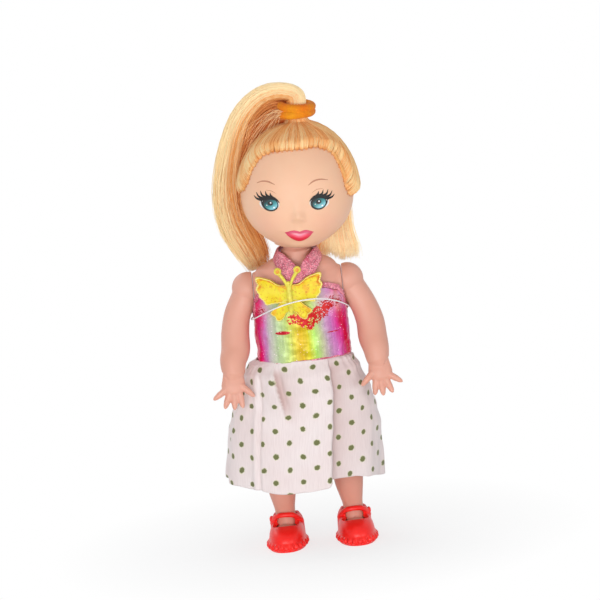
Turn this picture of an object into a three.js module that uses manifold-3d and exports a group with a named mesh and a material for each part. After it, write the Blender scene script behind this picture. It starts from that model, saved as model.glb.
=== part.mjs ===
// Small child doll in a halter dress: turning head, swinging arms and legs, ponytail, moulded shoes.
// Millimetres. +Z is up, the doll faces -Y, and its own left hand is on the +X side.
// The origin is on the ground, midway between the soles.
import * as THREE from "three";
import { mergeVertices } from "three/addons/utils/BufferGeometryUtils.js";
import Module from "manifold-3d";

const wasm = await Module();
wasm.setup();

// Clearances
const restGap = 0.3; // between two pieces that lie on each other
const runGap = 0.3; // round a peg that turns in its hole
const seamGap = 0.2; // between the two torso halves
const cutRoom = 15; // how far a cutting block reaches past what it cuts

// Torso: two hollow halves joined on the plane y = 0
const torsoWall = 1.0;
const hipZ = 41;
const hipHalfWidth = 11.4;
const hipHalfDepth = 7.6;
const waistZ = 49.5;
const waistHalfWidth = 11.0;
const waistHalfDepth = 7.4;
const chestZ = 60;
const chestHalfWidth = 11.2;
const chestHalfDepth = 7.5;
const shoulderZ = 67.8;
const shoulderFlat = 11.2; // half the distance between the flat shoulder faces
const shoulderHalfDepth = 6.4;
const collarZ = 75.0;
const torsoSquareness = 2.3; // 2 is an ellipse, more is boxier

// Neck and the knob that holds the head
const neckX = 0.6;
const neckRadius = 4.0;
const neckTopZ = 77.1;
const grooveRadius = 3.3;
const knobRadius = 4.7;
const knobHeight = 4.4;

// Head: hollow soft vinyl shell with a round hole that snaps into the neck groove
const headTilt = 5; // degrees towards the doll's own left
const headWall = 1.3;
const rimThickness = 1.2;
const faceHalfWidth = 14.4;
const faceDepth = 13.4;
const skullDepth = 12.0;
const chinDrop = 13.2; // widest level down to the bottom
const crownRise = 17.5; // widest level up to the crown
const widestLevel = 12.5; // above the neck rim
const noseReach = 1.3;

// Rooted hair, ponytail, loose back hair and tie
const hairThickness = 1.5;
const hairlineFront = 24.9; // above the neck rim
const hairlineTemple = 15.6;
const hairlineSide = 12.0;
const hairlineNape = 6.0;
const tieRadius = 3.65;
const tieCord = 1.15;
const tieTurns = 2;
const ponyRootRadius = 1.9;
const crownPatchRadius = 3.4; // hair under the tie
const backHairRise = 4; // the loose hair starts this far over the widest level
const backHairTurn = 40; // degrees from the doll's left at which it starts at the top
const backHairSpread = 22; // and how much nearer to the side it starts at the bottom
const looseHairZ = 73.3; // lowest point of the loose hair, above the shoulders

// Arms and legs, each moulded in one with its peg and flange
const pegRadius = 1.7;
const flangeRadius = 2.5;
const flangeThickness = 0.7;
const pegHoleReach = 4; // how far the drill for a shoulder hole starts and ends from the wall
const upperArmRadius = 3.4;
const elbowRadius = 3.55;
const wristRadius = 2.9;
const palmRadius = 2.6;
const armLength = 20.6; // shoulder to wrist
const fingerLength = 4.9;
const fingerRadius = 1.0;
const keelHalfWidth = 3.3; // the part of the torso between the legs
const thighRadius = 5.4;
const kneeZ = 24;
const kneeRadius = 4.3;
const calfZ = 15;
const calfRadius = 3.5;
const ankleZ = 8.6;
const ankleRadius = 2.6;
const hipX = 7.9;
const ankleX = 8.75;

// Shoes: soft moulded bar shoes with a scalloped welt
const soleLength = 17.5;
const soleHalfWidth = 4.9;
const welt = 0.65;
const weltHeight = 2.0;
const weltInset = 0.25; // the upper starts this far inside the sole's outline
const insoleZ = 1.3;
const shoeWall = 0.9;
const shoeHeight = 6.6;
const strapHeight = 9.2; // over the instep
const heelHeight = 7.3; // the back of the opening
const heelY = 6.4;
const toeOut = 4; // degrees

// Dress
const clothThickness = 0.7;
const bodiceBottomZ = 49.4;
const bodiceSideZ = 59.9;
const bodiceFrontZ = 67.0;
const bodiceBackZ = 61.2;
const trimHeight = 1.3;
const tapeThickness = 0.5;
const backOpening = 5.0; // gap in the bodice at the back, closed by the tapes
const strapWidth = 3.3; // on the chest
const strapBackWidth = 2.3; // behind the neck
const strapThickness = 0.6;
const strapZ = neckTopZ - 1.5; // middle of the strap behind the neck
const hemZ = 17.0;
const skirtTopZ = bodiceBottomZ - restGap;
const skirtThickness = 0.5;
const hemHalfWidth = 20.3;
const hemShift = -2.6; // the skirt stands out further on the doll's right
const hemHalfDepth = 14.6;
const foldDepth = 0.9;
const foldCount = 9;
const pleatDepth = 1.6;
const backSlit = 0.6;

// Trimmings
const butterflySpan = 17.2;
const butterflyThickness = 0.8;
const butterflyX = -2.3;
const butterflyZ = 68.4;
const elasticRadius = 0.25;
const elasticSideZ = 59.3;
const elasticRise = 5.2; // the elastic climbs this much over the butterfly
const elasticLean = 1.0; // and sits this much higher on the doll's left

const left = 1;
const right = -1;

function material(colour, roughness, metalness = 0) {
  return new THREE.MeshStandardMaterial({ color: colour, roughness, metalness });
}

const skin = material(0xe9b093, 0.5);
const vinyl = material(0xf2c7a8, 0.55);
const hair = material(0xe6b565, 0.45);
const tieOrange = material(0xf29a10, 0.6);
const foil = material(0xc9c24a, 0.25, 0.35);
const pinkGlitter = material(0xcf4f7c, 0.45, 0.2);
const whiteCloth = material(0xefe6ea, 0.9);
const yellow = material(0xf3dc2a, 0.35);
const shoeRed = material(0xe01a1e, 0.3);
const tapeWhite = material(0xf1eef0, 0.85);

// A value that runs smoothly through [position, value] stations in rising order.
function along(stations, at) {
  let i = stations.findIndex((station) => station[0] >= at);
  if (i < 0) return stations[stations.length - 1][1];
  if (i === 0) return stations[0][1];
  const [from, low] = stations[i - 1];
  const [to, high] = stations[i];
  const share = (at - from) / (to - from);
  return low + (high - low) * share * share * (3 - 2 * share);
}

function radians(degrees) {
  return (degrees * Math.PI) / 180;
}

// Turn in degrees from straight ahead, 0 to 180, of an angle from +X towards +Y.
function turnFromFront(angle) {
  const degrees = (angle * 180) / Math.PI + 90;
  return Math.abs(THREE.MathUtils.euclideanModulo(degrees + 180, 360) - 180);
}

// The tilted rim of the head needs this much room above and below it in the neck groove.
const tiltRoom = restGap + knobRadius * Math.sin(radians(headTilt));
const knobBase = neckTopZ + rimThickness + 2 * tiltRoom;

// Signed power, the curve of a superellipse.
function bulge(value, power) {
  return Math.sign(value) * Math.abs(value) ** power;
}

// Mesh data to a geometry whose faces point outwards.
function closed(points, triangles) {
  let volume = 0;
  for (const [a, b, c] of triangles) {
    volume += points[a].dot(points[b].clone().cross(points[c]));
  }
  const geometry = new THREE.BufferGeometry();
  geometry.setAttribute(
    "position",
    new THREE.BufferAttribute(new Float32Array(points.flatMap((p) => p.toArray())), 3),
  );
  geometry.setIndex(triangles.flatMap(([a, b, c]) => (volume < 0 ? [a, c, b] : [a, b, c])));
  return geometry;
}

// A body through rings of points. A ring of one point closes it as a pole, and any other end is a flat fan.
function loft(rings) {
  const points = [];
  const starts = rings.map((ring) => {
    points.push(...ring);
    return points.length - ring.length;
  });
  const triangles = [];
  for (let r = 0; r + 1 < rings.length; r++) {
    const [a, b] = [starts[r], starts[r + 1]];
    const [lower, upper] = [rings[r].length, rings[r + 1].length];
    const count = Math.max(lower, upper);
    for (let i = 0; i < count; i++) {
      const next = (i + 1) % count;
      if (lower > 1) triangles.push([a + i, a + next, b + (upper > 1 ? next : 0)]);
      if (upper > 1) triangles.push([a + (lower > 1 ? i : 0), b + next, b + i]);
    }
  }
  for (const r of [0, rings.length - 1]) {
    if (rings[r].length === 1) continue;
    const centre = new THREE.Vector3();
    rings[r].forEach((p) => centre.addScaledVector(p, 1 / rings[r].length));
    points.push(centre);
    for (let i = 0; i < rings[r].length; i++) {
      const [here, next] = [starts[r] + i, starts[r] + ((i + 1) % rings[r].length)];
      triangles.push(r === 0 ? [next, here, points.length - 1] : [here, next, points.length - 1]);
    }
  }
  return closed(points, triangles);
}

// A sheet with thickness, from its outer and inner face as rows of points. Round sheets join their last column to
// their first, and a row of one point is a pole.
function sheet(outer, inner, round) {
  const points = [...outer.flat(), ...inner.flat()];
  const columns = outer[0].length;
  const rows = outer.length;
  const offset = rows * columns;
  const spans = round ? columns : columns - 1;
  const at = (row, column, side) => side * offset + row * columns + (column % columns);
  const triangles = [];
  const quad = (a, b, c, d) => triangles.push([a, b, c], [a, c, d]);
  for (let i = 0; i < spans; i++) {
    for (let r = 0; r + 1 < rows; r++) {
      quad(at(r, i, 0), at(r, i + 1, 0), at(r + 1, i + 1, 0), at(r + 1, i, 0));
      quad(at(r, i + 1, 1), at(r, i, 1), at(r + 1, i, 1), at(r + 1, i + 1, 1));
    }
    quad(at(0, i + 1, 0), at(0, i, 0), at(0, i, 1), at(0, i + 1, 1));
    quad(at(rows - 1, i, 0), at(rows - 1, i + 1, 0), at(rows - 1, i + 1, 1), at(rows - 1, i, 1));
  }
  for (let r = 0; r + 1 < rows && !round; r++) {
    quad(at(r, 0, 0), at(r + 1, 0, 0), at(r + 1, 0, 1), at(r, 0, 1));
    quad(at(r + 1, spans, 0), at(r, spans, 0), at(r, spans, 1), at(r + 1, spans, 1));
  }
  return closed(points, triangles);
}

// A round-section body along a line of points, with a radius at each and rounded-off ends.
function limb(path, radii, sides, flatten = 1) {
  const curve = new THREE.CatmullRomCurve3(path, false, "catmullrom", 0.5);
  const rings = path.map((point, i) => {
    const direction = curve.getTangent(i / (path.length - 1)).normalize();
    if (i > 0 && i < path.length - 1) {
      direction.subVectors(path[i + 1], path[i - 1]).normalize();
    }
    const across = new THREE.Vector3(0, 1, 0).cross(direction);
    if (across.length() < 0.2) across.set(1, 0, 0).cross(direction);
    across.normalize();
    const up = direction.clone().cross(across);
    return Array.from({ length: sides }, (_, k) => {
      const angle = (2 * Math.PI * k) / sides;
      return point
        .clone()
        .addScaledVector(across, radii[i] * Math.cos(angle))
        .addScaledVector(up, radii[i] * flatten * Math.sin(angle));
    });
  });
  return loft(rings);
}

function ball(radius, x, y, z) {
  return new THREE.SphereGeometry(radius, 10, 6).translate(x, y, z);
}

// A cylinder along X, Y or Z between two coordinates.
function rod(axis, radius, from, to, centre, sides = 16) {
  const shape = new THREE.CylinderGeometry(radius, radius, Math.abs(to - from), sides);
  if (axis === "x") shape.rotateZ(Math.PI / 2);
  if (axis === "z") shape.rotateX(Math.PI / 2);
  const middle = { x: 0, y: 0, z: 0, ...centre, [axis]: (from + to) / 2 };
  return shape.translate(middle.x, middle.y, middle.z);
}

function block(x0, x1, y0, y1, z0, z1) {
  const [lowX, highX] = [Math.min(x0, x1), Math.max(x0, x1)];
  return new THREE.BoxGeometry(highX - lowX, y1 - y0, z1 - z0).translate(
    (lowX + highX) / 2,
    (y0 + y1) / 2,
    (z0 + z1) / 2,
  );
}

// Solid for joining and cutting.
function solid(geometry) {
  const bare = geometry.clone();
  bare.deleteAttribute("normal");
  bare.deleteAttribute("uv");
  const merged = mergeVertices(bare, 1e-4);
  const found = new wasm.Manifold(
    new wasm.Mesh({
      numProp: 3,
      vertProperties: new Float32Array(merged.attributes.position.array),
      triVerts: new Uint32Array(merged.index.array),
    }),
  );
  return found;
}

function geometryOf(body) {
  const data = body.getMesh();
  const geometry = new THREE.BufferGeometry();
  geometry.setAttribute("position", new THREE.BufferAttribute(data.vertProperties, 3));
  geometry.setIndex(new THREE.BufferAttribute(data.triVerts, 1));
  return geometry;
}

function join(...geometries) {
  return geometries.map(solid).reduce((whole, next) => whole.add(next));
}

const doll = new THREE.Group();

function piece(name, shape, finish, parent = doll) {
  const geometry = shape.isBufferGeometry ? shape : geometryOf(shape);
  geometry.computeVertexNormals();
  const mesh = new THREE.Mesh(geometry, finish);
  mesh.name = name;
  parent.add(mesh);
  return mesh;
}

// Half width and half depth of the bare torso at a height.
const torsoWidths = [
  [hipZ - 7, hipHalfWidth * 0.62],
  [hipZ - 2, hipHalfWidth],
  [waistZ, waistHalfWidth],
  [chestZ, chestHalfWidth],
  [shoulderZ, shoulderFlat + 0.9],
  [shoulderZ + flangeRadius + 0.2, shoulderFlat + 0.3],
  [collarZ - 2.8, shoulderFlat - 1],
  [collarZ - 0.8, neckRadius + 2.9],
  [collarZ, neckRadius + 0.6],
];
const torsoDepths = [
  [hipZ - 7, hipHalfDepth * 0.6],
  [hipZ - 2, hipHalfDepth],
  [waistZ, waistHalfDepth],
  [chestZ, chestHalfDepth],
  [shoulderZ, shoulderHalfDepth],
  [collarZ - 2.8, neckRadius + 0.9],
  [collarZ - 0.8, neckRadius + 0.25],
  [collarZ, neckRadius],
];

// Point on the torso's surface, grown outwards, at an angle from +X towards +Y.
function torsoPoint(angle, z, grow = 0) {
  const power = 2 / torsoSquareness;
  return new THREE.Vector3(
    bulge(Math.cos(angle), power) * (along(torsoWidths, z) + grow),
    bulge(Math.sin(angle), power) * (along(torsoDepths, z) + grow),
    z,
  );
}

function torsoBody(grow) {
  const low = hipZ - 7;
  const heights = 13;
  const sides = 24;
  const rings = [];
  for (let i = 0; i <= heights; i++) {
    const z = low - grow * 0.6 + ((collarZ + grow * 1.6 - low) * i) / heights;
    rings.push(
      Array.from({ length: sides }, (_, k) => {
        const point = torsoPoint((2 * Math.PI * k) / sides, Math.max(z, low), grow);
        point.z = z;
        return point;
      }),
    );
  }
  return solid(loft(rings));
}

// Neck, groove and knob as one turned shape.
function neckBody() {
  const profile = [
    [0, collarZ - 4],
    [neckRadius, collarZ - 4],
    [neckRadius, neckTopZ - 0.3],
    [neckRadius - 0.3, neckTopZ],
    [grooveRadius, neckTopZ],
    [grooveRadius, knobBase],
    [knobRadius, knobBase],
    [knobRadius, knobBase + knobHeight * 0.35],
    [knobRadius * 0.8, knobBase + knobHeight * 0.75],
    [knobRadius * 0.4, knobBase + knobHeight],
    [0, knobBase + knobHeight],
  ].map(([radius, z]) => new THREE.Vector2(radius, z));
  const turned = new THREE.LatheGeometry(profile, 24).rotateX(Math.PI / 2);
  return solid(turned.translate(neckX, 0, 0));
}

// Room under the torso in which a thigh's round top turns, grown inwards for the wall.
function thighPocket(side, grow) {
  const reach = thighRadius + 2 * restGap + grow;
  const inner = side * (keelHalfWidth - grow);
  const outer = side * (hipHalfWidth + 4);
  const frontTop = hipZ + reach;
  const backTop = hipZ + reach * 0.42;
  const far = hipHalfDepth + 6;
  return solid(rod("x", reach, inner, outer, { z: hipZ }, 24))
    .add(solid(block(inner, outer, -far, 0, hipZ - 12, frontTop)))
    .add(solid(block(inner, outer, -0.5, far, hipZ - 12, backTop)));
}

function torsoShell() {
  const cutSides = (body, half) =>
    [left, right].reduce(
      (rest, side) =>
        rest.subtract(solid(block(side * half, side * (half + 9), -12, 12, chestZ - 4, collarZ + 4))),
      body,
    );
  let outer = cutSides(torsoBody(0), shoulderFlat);
  let inner = cutSides(torsoBody(-torsoWall), shoulderFlat - torsoWall);
  for (const side of [left, right]) {
    outer = outer.subtract(thighPocket(side, 0));
    inner = inner.subtract(thighPocket(side, torsoWall));
  }
  let shell = outer.add(neckBody()).subtract(inner);
  for (const side of [left, right]) {
    const shoulderHole = rod("x", pegRadius + runGap, side * (shoulderFlat - pegHoleReach), side * (shoulderFlat + pegHoleReach), {
      z: shoulderZ,
    });
    const hipHole = rod("x", pegRadius + runGap, side * 0.5, side * 6, { z: hipZ });
    shell = shell.subtract(solid(shoulderHole)).subtract(solid(hipHole));
  }
  return shell;
}

// Locating pins in the front half and their sockets in the back half.
const pinHeights = [waistZ + 4.5, chestZ + 2];
const pinRadius = 0.9;
const socketWall = 0.9;

function torsoHalves() {
  const shell = torsoShell();
  const reach = chestHalfDepth + cutRoom;
  const wide = chestHalfWidth + cutRoom;
  const low = hipZ - cutRoom;
  const high = neckTopZ + cutRoom;
  const half = seamGap / 2;
  let front = shell.subtract(solid(block(-wide, wide, -half, reach, low, high)));
  let back = shell.subtract(solid(block(-wide, wide, -reach, half, low, high)));
  for (const z of pinHeights) {
    const wall = along(torsoDepths, z) - torsoWall / 2;
    front = front.add(solid(rod("y", pinRadius, -wall, 2.2, { z }, 12)));
    const boss = rod("y", pinRadius + runGap + socketWall, half, wall, { z }, 16);
    const socket = rod("y", pinRadius + runGap, -1, 2.2 + 2 * runGap, { z }, 12);
    back = back.add(solid(boss)).subtract(solid(socket));
  }
  return [front, back];
}

const [frontHalf, backHalf] = torsoHalves();
piece("torso_front", frontHalf, skin);
piece("torso_back", backHalf, skin);

// The head and its hair are measured from the middle of the neck rim and tilted about it.
const head = new THREE.Group();
head.position.set(neckX, 0, neckTopZ + tiltRoom + rimThickness / 2);
head.rotation.y = radians(headTilt);
doll.add(head);

// A soft bump centred on a place of the face.
function bump(x, z, atX, atZ, wide, high) {
  return Math.exp(-(((x - atX) / wide) ** 2) - ((z - atZ) / high) ** 2);
}

// Point on the skull at an angle from +X towards +Y and a tilt from the widest level, grown outwards.
function skullPoint(angle, tilt, grow = 0) {
  const rise = (tilt < 0 ? chinDrop : crownRise) + grow;
  const flat = Math.cos(tilt) ** 0.96;
  const x = Math.cos(angle) * (faceHalfWidth + grow) * flat;
  const z = widestLevel + Math.sin(tilt) * rise;
  const front = Math.sin(angle) < 0;
  let y = Math.sin(angle) * ((front ? faceDepth : skullDepth) + grow) * flat;
  if (front && grow <= 0) {
    const nose = noseReach * bump(x, z, 0, widestLevel - 4.2, 1.9, 1.7);
    const cheeks = 0.5 * (bump(x, z, 7, widestLevel - 5, 4, 4) + bump(x, z, -7, widestLevel - 5, 4, 4));
    const mouth = 0.55 * bump(x, z, 0, widestLevel - 8.2, 3.6, 1.8);
    const chin = 0.7 * bump(x, z, 0, widestLevel - 11.6, 3.2, 1.6);
    y -= nose + cheeks + mouth + chin;
  }
  return new THREE.Vector3(x, y, z);
}

function skullRing(tilt, sides, grow) {
  return Array.from({ length: sides }, (_, k) => skullPoint((2 * Math.PI * k) / sides, tilt, grow));
}

function circle(radius, z, sides) {
  return Array.from({ length: sides }, (_, k) => {
    const angle = (2 * Math.PI * k) / sides;
    return new THREE.Vector3(radius * Math.cos(angle), radius * Math.sin(angle), z);
  });
}

const neckHole = grooveRadius + runGap;

// Vinyl shell: outer skin from the neck rim to the crown, inner skin back down to the hole.
function headShell() {
  const sides = 32;
  const base = -rimThickness / 2;
  const lowTilt = radians(-66);
  const hollowTilt = radians(-60); // leaves room for the knob on the neck
  const outer = [];
  const steps = 18;
  for (let i = 0; i < steps; i++) {
    outer.push(skullRing(lowTilt + ((Math.PI / 2 - lowTilt) * i) / steps, sides, 0));
  }
  const crown = [new THREE.Vector3(0, 0, widestLevel + crownRise)];
  const underside = [circle(neckRadius + 1.6, base, sides)];
  const body = solid(loft([...underside, ...outer, crown]));
  const hollow = [];
  const innerSteps = 10;
  for (let i = 0; i < innerSteps; i++) {
    hollow.push(skullRing(hollowTilt + ((Math.PI / 2 - hollowTilt) * i) / innerSteps, 20, -headWall));
  }
  const innerCrown = [new THREE.Vector3(0, 0, widestLevel + crownRise - headWall)];
  const innerBase = [circle(knobRadius + 0.9, rimThickness / 2, 20)];
  return body
    .subtract(solid(loft([...innerBase, ...hollow, innerCrown])))
    .subtract(solid(rod("z", neckHole, -6, 6, {}, 24)));
}

piece("head", headShell(), vinyl, head);

// Height of the hairline at an angle in degrees from straight ahead.
function hairline(turn) {
  return along(
    [
      [0, hairlineFront],
      [38, hairlineFront - 1.9],
      [66, hairlineTemple],
      [84, hairlineSide],
      [110, hairlineSide - 1.5],
      [180, hairlineNape],
    ],
    turn,
  );
}

function tiltAtLevel(z, grow) {
  const rise = z < widestLevel ? chinDrop : crownRise;
  return Math.asin(THREE.MathUtils.clamp((z - widestLevel) / (rise + grow), -1, 1));
}

// Rooted hair drawn up over the skull to the crown.
function hairCap() {
  const columns = 32;
  const rows = 6;
  const crownTilt = radians(85);
  const face = (grow) => {
    const grid = [];
    for (let r = 0; r <= rows; r++) {
      grid.push(
        Array.from({ length: columns }, (_, k) => {
          const angle = (2 * Math.PI * k) / columns;
          const low = tiltAtLevel(hairline(turnFromFront(angle)), grow);
          return skullPoint(angle, low + ((crownTilt - low) * r) / rows, grow);
        }),
      );
    }
    return grid;
  };
  const outer = face(restGap + hairThickness);
  const inner = face(restGap);
  const cap = solid(sheet(outer, inner, true));
  const top = widestLevel + crownRise + restGap;
  return cap.add(solid(rod("z", crownPatchRadius, top, top + hairThickness - 0.05, {}, 20)));
}

piece("scalp_hair", hairCap(), hair, head);

const capTop = widestLevel + crownRise + restGap + hairThickness;

// Elastic wound twice round the root of the ponytail.
function hairTie() {
  const profile = [];
  const bottom = capTop + restGap;
  for (let turn = 0; turn < tieTurns; turn++) {
    for (let k = 0; k <= 5; k++) {
      const angle = -Math.PI / 2 + (Math.PI * k) / 5;
      profile.push(
        new THREE.Vector2(
          tieRadius + tieCord * Math.cos(angle),
          bottom + tieCord * (1 + Math.sin(angle)) + turn * tieCord * 1.9,
        ),
      );
    }
  }
  const top = profile[profile.length - 1].y;
  profile.push(new THREE.Vector2(ponyRootRadius + restGap, top));
  profile.push(new THREE.Vector2(ponyRootRadius + restGap, bottom));
  profile.push(profile[0].clone());
  return new THREE.LatheGeometry(profile, 16).rotateX(Math.PI / 2);
}

piece("hair_tie", hairTie(), tieOrange, head);

const tieTop = capTop + restGap + 2 * tieCord + (tieTurns - 1) * tieCord * 1.9;

// The skull with its hair, grown by a clearance, for cutting what lies against it.
function headCutter(clearance) {
  const rings = [];
  for (let i = 1; i < 12; i++) {
    rings.push(skullRing(-Math.PI / 2 + (Math.PI * i) / 12, 28, restGap + hairThickness + clearance));
  }
  const reach = restGap + hairThickness + clearance;
  return solid(
    loft([
      [new THREE.Vector3(0, 0, widestLevel - chinDrop - reach)],
      ...rings,
      [new THREE.Vector3(0, 0, widestLevel + crownRise + reach)],
    ]),
  );
}

// Ponytail: up through the tie, over to the doll's right and down beside the head.
function ponytail() {
  const low = looseHairZ - head.position.z;
  const stations = [
    [0, 0, capTop + restGap, ponyRootRadius],
    [0, 0, tieTop + 0.3, ponyRootRadius],
    [-0.7, 0.3, tieTop + 2.0, 1.8],
    [-3.2, 0.9, tieTop + 2.4, 2.0],
    [-6.6, 1.8, tieTop + 1.9, 2.6],
    [-10.0, 3.0, tieTop - 0.2, 3.5],
    [-13.2, 4.2, tieTop - 4.2, 4.2],
    [-15.6, 5.4, tieTop - 10, 4.8],
    [-17.2, 6.8, tieTop - 18, 5.3],
    [-17.2, 7.8, tieTop - 26, 5.4],
    [-16.1, 8.2, low + 9.8, 5.0],
    [-14.6, 8.2, low + 5.2, 4.4],
    [-13.2, 8.0, low + 1.8, 3.2],
    [-12.6, 7.8, low + 0.3, 1.6],
  ];
  const path = stations.map(([x, y, z]) => new THREE.Vector3(x, y, z));
  const body = limb(path, stations.map((station) => station[3]), 12);
  return solid(body).subtract(headCutter(restGap));
}

piece("ponytail", ponytail(), hair, head);

// Loose hair that hangs from the back of the head, from behind the left ear to the ponytail.
function backHair() {
  const columns = 14;
  const rows = 6;
  const low = looseHairZ - head.position.z + 0.9;
  const high = widestLevel + backHairRise;
  const near = restGap + hairThickness + restGap;
  const face = (grow) => {
    const grid = [];
    for (let r = 0; r <= rows; r++) {
      const z = low + ((high - low) * r) / rows;
      const down = 1 - r / rows;
      const sag = Math.max(0, (widestLevel - z) / (widestLevel - low)) ** 1.6;
      const thin = 1 - Math.max(0, (z - widestLevel) / (high - widestLevel)) ** 2 * 0.6;
      grid.push(
        Array.from({ length: columns + 1 }, (_, k) => {
          const start = backHairTurn - backHairSpread * down ** 1.5;
          const angle = radians(start + ((122 - start) * k) / columns);
          const width = faceHalfWidth + near + grow * thin;
          const depth = skullDepth + near + grow * thin;
          return new THREE.Vector3(
            Math.cos(angle) * (width - 1.8 * sag),
            Math.sin(angle) * (depth - 4.6 * sag),
            z,
          );
        }),
      );
    }
    return grid;
  };
  return sheet(face(1.5), face(0), false);
}

piece("back_hair", backHair(), hair, head);

// Arm in the rest pose: shoulder cap, arm, flat hand and five fingers, with the peg and flange inside the torso.
function arm(side) {
  const face = shoulderFlat + restGap;
  const wristZ = shoulderZ - armLength;
  const stations = [
    [face + 1.4, 0, shoulderZ, upperArmRadius],
    [face + 2.3, -0.2, shoulderZ - 2.2, upperArmRadius],
    [face + 4.6, -0.9, shoulderZ - 6.5, upperArmRadius],
    [face + 6.1, -2.0, shoulderZ - 11, upperArmRadius],
    [face + 6.4, -3.3, shoulderZ - 15, elbowRadius],
    [face + 6.8, -5.0, wristZ + 3, wristRadius + 0.35],
    [face + 7.0, -6.2, wristZ, wristRadius],
    [face + 7.2, -6.9, wristZ - 1.6, palmRadius + 0.3],
  ].map(([x, y, z, radius]) => [side * x, y, z, radius]);
  const path = stations.map(([x, y, z]) => new THREE.Vector3(x, y, z));
  let body = solid(limb(path, stations.map((station) => station[3]), 11));
  const cap = ball(upperArmRadius + 0.75, side * (face + 1.3), 0, shoulderZ);
  body = body.add(solid(cap)).subtract(
    solid(block(side * face, side * (face - 9), -12, 12, shoulderZ - 14, shoulderZ + 9)),
  );
  const wrist = path[path.length - 1];
  const palm = [
    [0, 0.2, 0.9, palmRadius + 0.1],
    [0.1, 0, 0, palmRadius + 0.2],
    [0.3, -0.4, -1.8, palmRadius + 0.35],
    [0.5, -0.9, -3.6, palmRadius],
  ];
  const palmPath = palm.map(([x, y, z]) => new THREE.Vector3(wrist.x + side * x, wrist.y + y, wrist.z + z));
  body = body.add(solid(limb(palmPath, palm.map((station) => station[3]), 12, 0.6)));
  const knuckles = palmPath[palmPath.length - 1];
  const fingers = [
    [2.1, 0.7, 4.6, 0.86],
    [1.2, -0.3, 1.7, 1.0],
    [0.1, -0.7, 0.5, 1.06],
    [-1.1, -0.4, -1.0, 0.95],
    [-2.2, 1.6, -3.4, 0.8],
  ];
  for (const [offset, forward, spread, share] of fingers) {
    const start = new THREE.Vector3(knuckles.x + side * offset * 0.8, knuckles.y + 0.2, knuckles.z + 1.6);
    const drop = Math.sqrt(Math.max(0.1, (fingerLength * share) ** 2 - spread ** 2 * 0.6));
    const end = new THREE.Vector3(
      start.x + side * spread * 0.8,
      start.y - 0.9 + forward * 0.3,
      start.z - drop,
    );
    const middle = start.clone().lerp(end, 0.55).add(new THREE.Vector3(0, 0.15, 0));
    const nearTip = start.clone().lerp(end, 0.9);
    const radii = [fingerRadius * 1.15, fingerRadius * 1.05, fingerRadius * 0.8, fingerRadius * 0.35];
    body = body.add(solid(limb([start, middle, nearTip, end], radii, 6)));
  }
  return body.add(pegAndFlange(side, face + 1.5, shoulderFlat, shoulderZ));
}

// Peg through a wall, and the flange that holds it from inside. The wall's outer face is at x = face.
function pegAndFlange(side, from, face, z) {
  const flangeOuter = face - torsoWall - restGap;
  const flangeInner = flangeOuter - flangeThickness;
  return solid(rod("x", pegRadius, side * from, side * (flangeInner + 0.1), { z })).add(
    solid(rod("x", flangeRadius, side * flangeOuter, side * flangeInner, { z })),
  );
}

piece("left_arm", arm(left), skin);
piece("right_arm", arm(right), skin);

// Outline of the sole, grown outwards: a rounded toe, wider than the heel.
function solePoint(angle, grow, z) {
  const length = soleLength / 2 + grow;
  const along = Math.sin(angle);
  const waist = 1 - 0.09 * Math.max(0, along);
  const x = bulge(Math.cos(angle), 0.86) * (soleHalfWidth + grow) * waist;
  return new THREE.Vector3(x, heelY - soleLength / 2 + bulge(along, 0.92) * length, z);
}

// Rounded upper of the shoe over the sole's outline, also the shape of its inside and of the foot in it.
function shoeDome(grow, top, low) {
  const sides = 18;
  const steps = 5;
  const middle = heelY - soleLength / 2 + 2.2;
  const outline = Array.from({ length: sides }, (_, k) => solePoint((2 * Math.PI * k) / sides, grow, low));
  const rings = [outline];
  for (let i = 0; i < steps; i++) {
    const rise = (Math.PI / 2) * (i / (steps - 0.4));
    const shrink = Math.cos(rise) ** 0.55;
    rings.push(
      outline.map(
        (point) =>
          new THREE.Vector3(
            point.x * shrink,
            middle + (point.y - middle) * shrink + (1 - shrink) * 2.0,
            weltHeight + Math.sin(rise) * (top - weltHeight),
          ),
      ),
    );
  }
  return loft(rings);
}

// Leg: a flat inner face against the keel, a round top that turns in the pocket, knee, calf, ankle and foot.
function leg(side) {
  const inner = keelHalfWidth + restGap;
  const outerX = hipHalfWidth - 0.2;
  const reach = thighRadius;
  const slim = (share) => hipX + (ankleX - hipX) * share;
  const stations = [
    [slim(0), 0, hipZ, reach, reach],
    [slim(0.2), 0, hipZ - 6, reach * 0.97, reach * 0.94],
    [slim(0.5), 0, (hipZ + kneeZ) / 2, kneeRadius + 0.5, kneeRadius + 0.4],
    [slim(0.65), -0.1, kneeZ, kneeRadius, kneeRadius],
    [slim(0.85), 0.3, calfZ, calfRadius, calfRadius + 0.1],
    [slim(1), 0.6, ankleZ + 1, ankleRadius, ankleRadius],
    [slim(1), 0.6, insoleZ + 2.4, ankleRadius, ankleRadius + 0.2],
  ];
  const rings = stations.map(([x, y, z, wide, deep]) =>
    Array.from({ length: 16 }, (_, k) => {
      const angle = (2 * Math.PI * k) / 16;
      return new THREE.Vector3(side * x + Math.cos(angle) * wide, y + Math.sin(angle) * deep, z);
    }),
  );
  const thigh = solid(loft(rings))
    .add(solid(rod("x", reach, side * inner, side * outerX, { z: hipZ }, 24)))
    .subtract(solid(block(side * inner, side * (inner - 9), -12, 12, hipZ - 14, hipZ + 12)))
    .subtract(solid(block(side * outerX, side * (outerX + 9), -12, 12, hipZ - 9, hipZ + 12)));
  const foot = shoeDome(-weltInset - shoeWall - restGap, shoeHeight - shoeWall - restGap, insoleZ + restGap)
    .rotateZ(side * radians(toeOut))
    .translate(side * ankleX, 0, 0);
  return thigh.add(solid(foot)).add(pegAndFlange(side, inner + 1.5, keelHalfWidth, hipZ));
}

piece("left_leg", leg(left), skin);
piece("right_leg", leg(right), skin);

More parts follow.
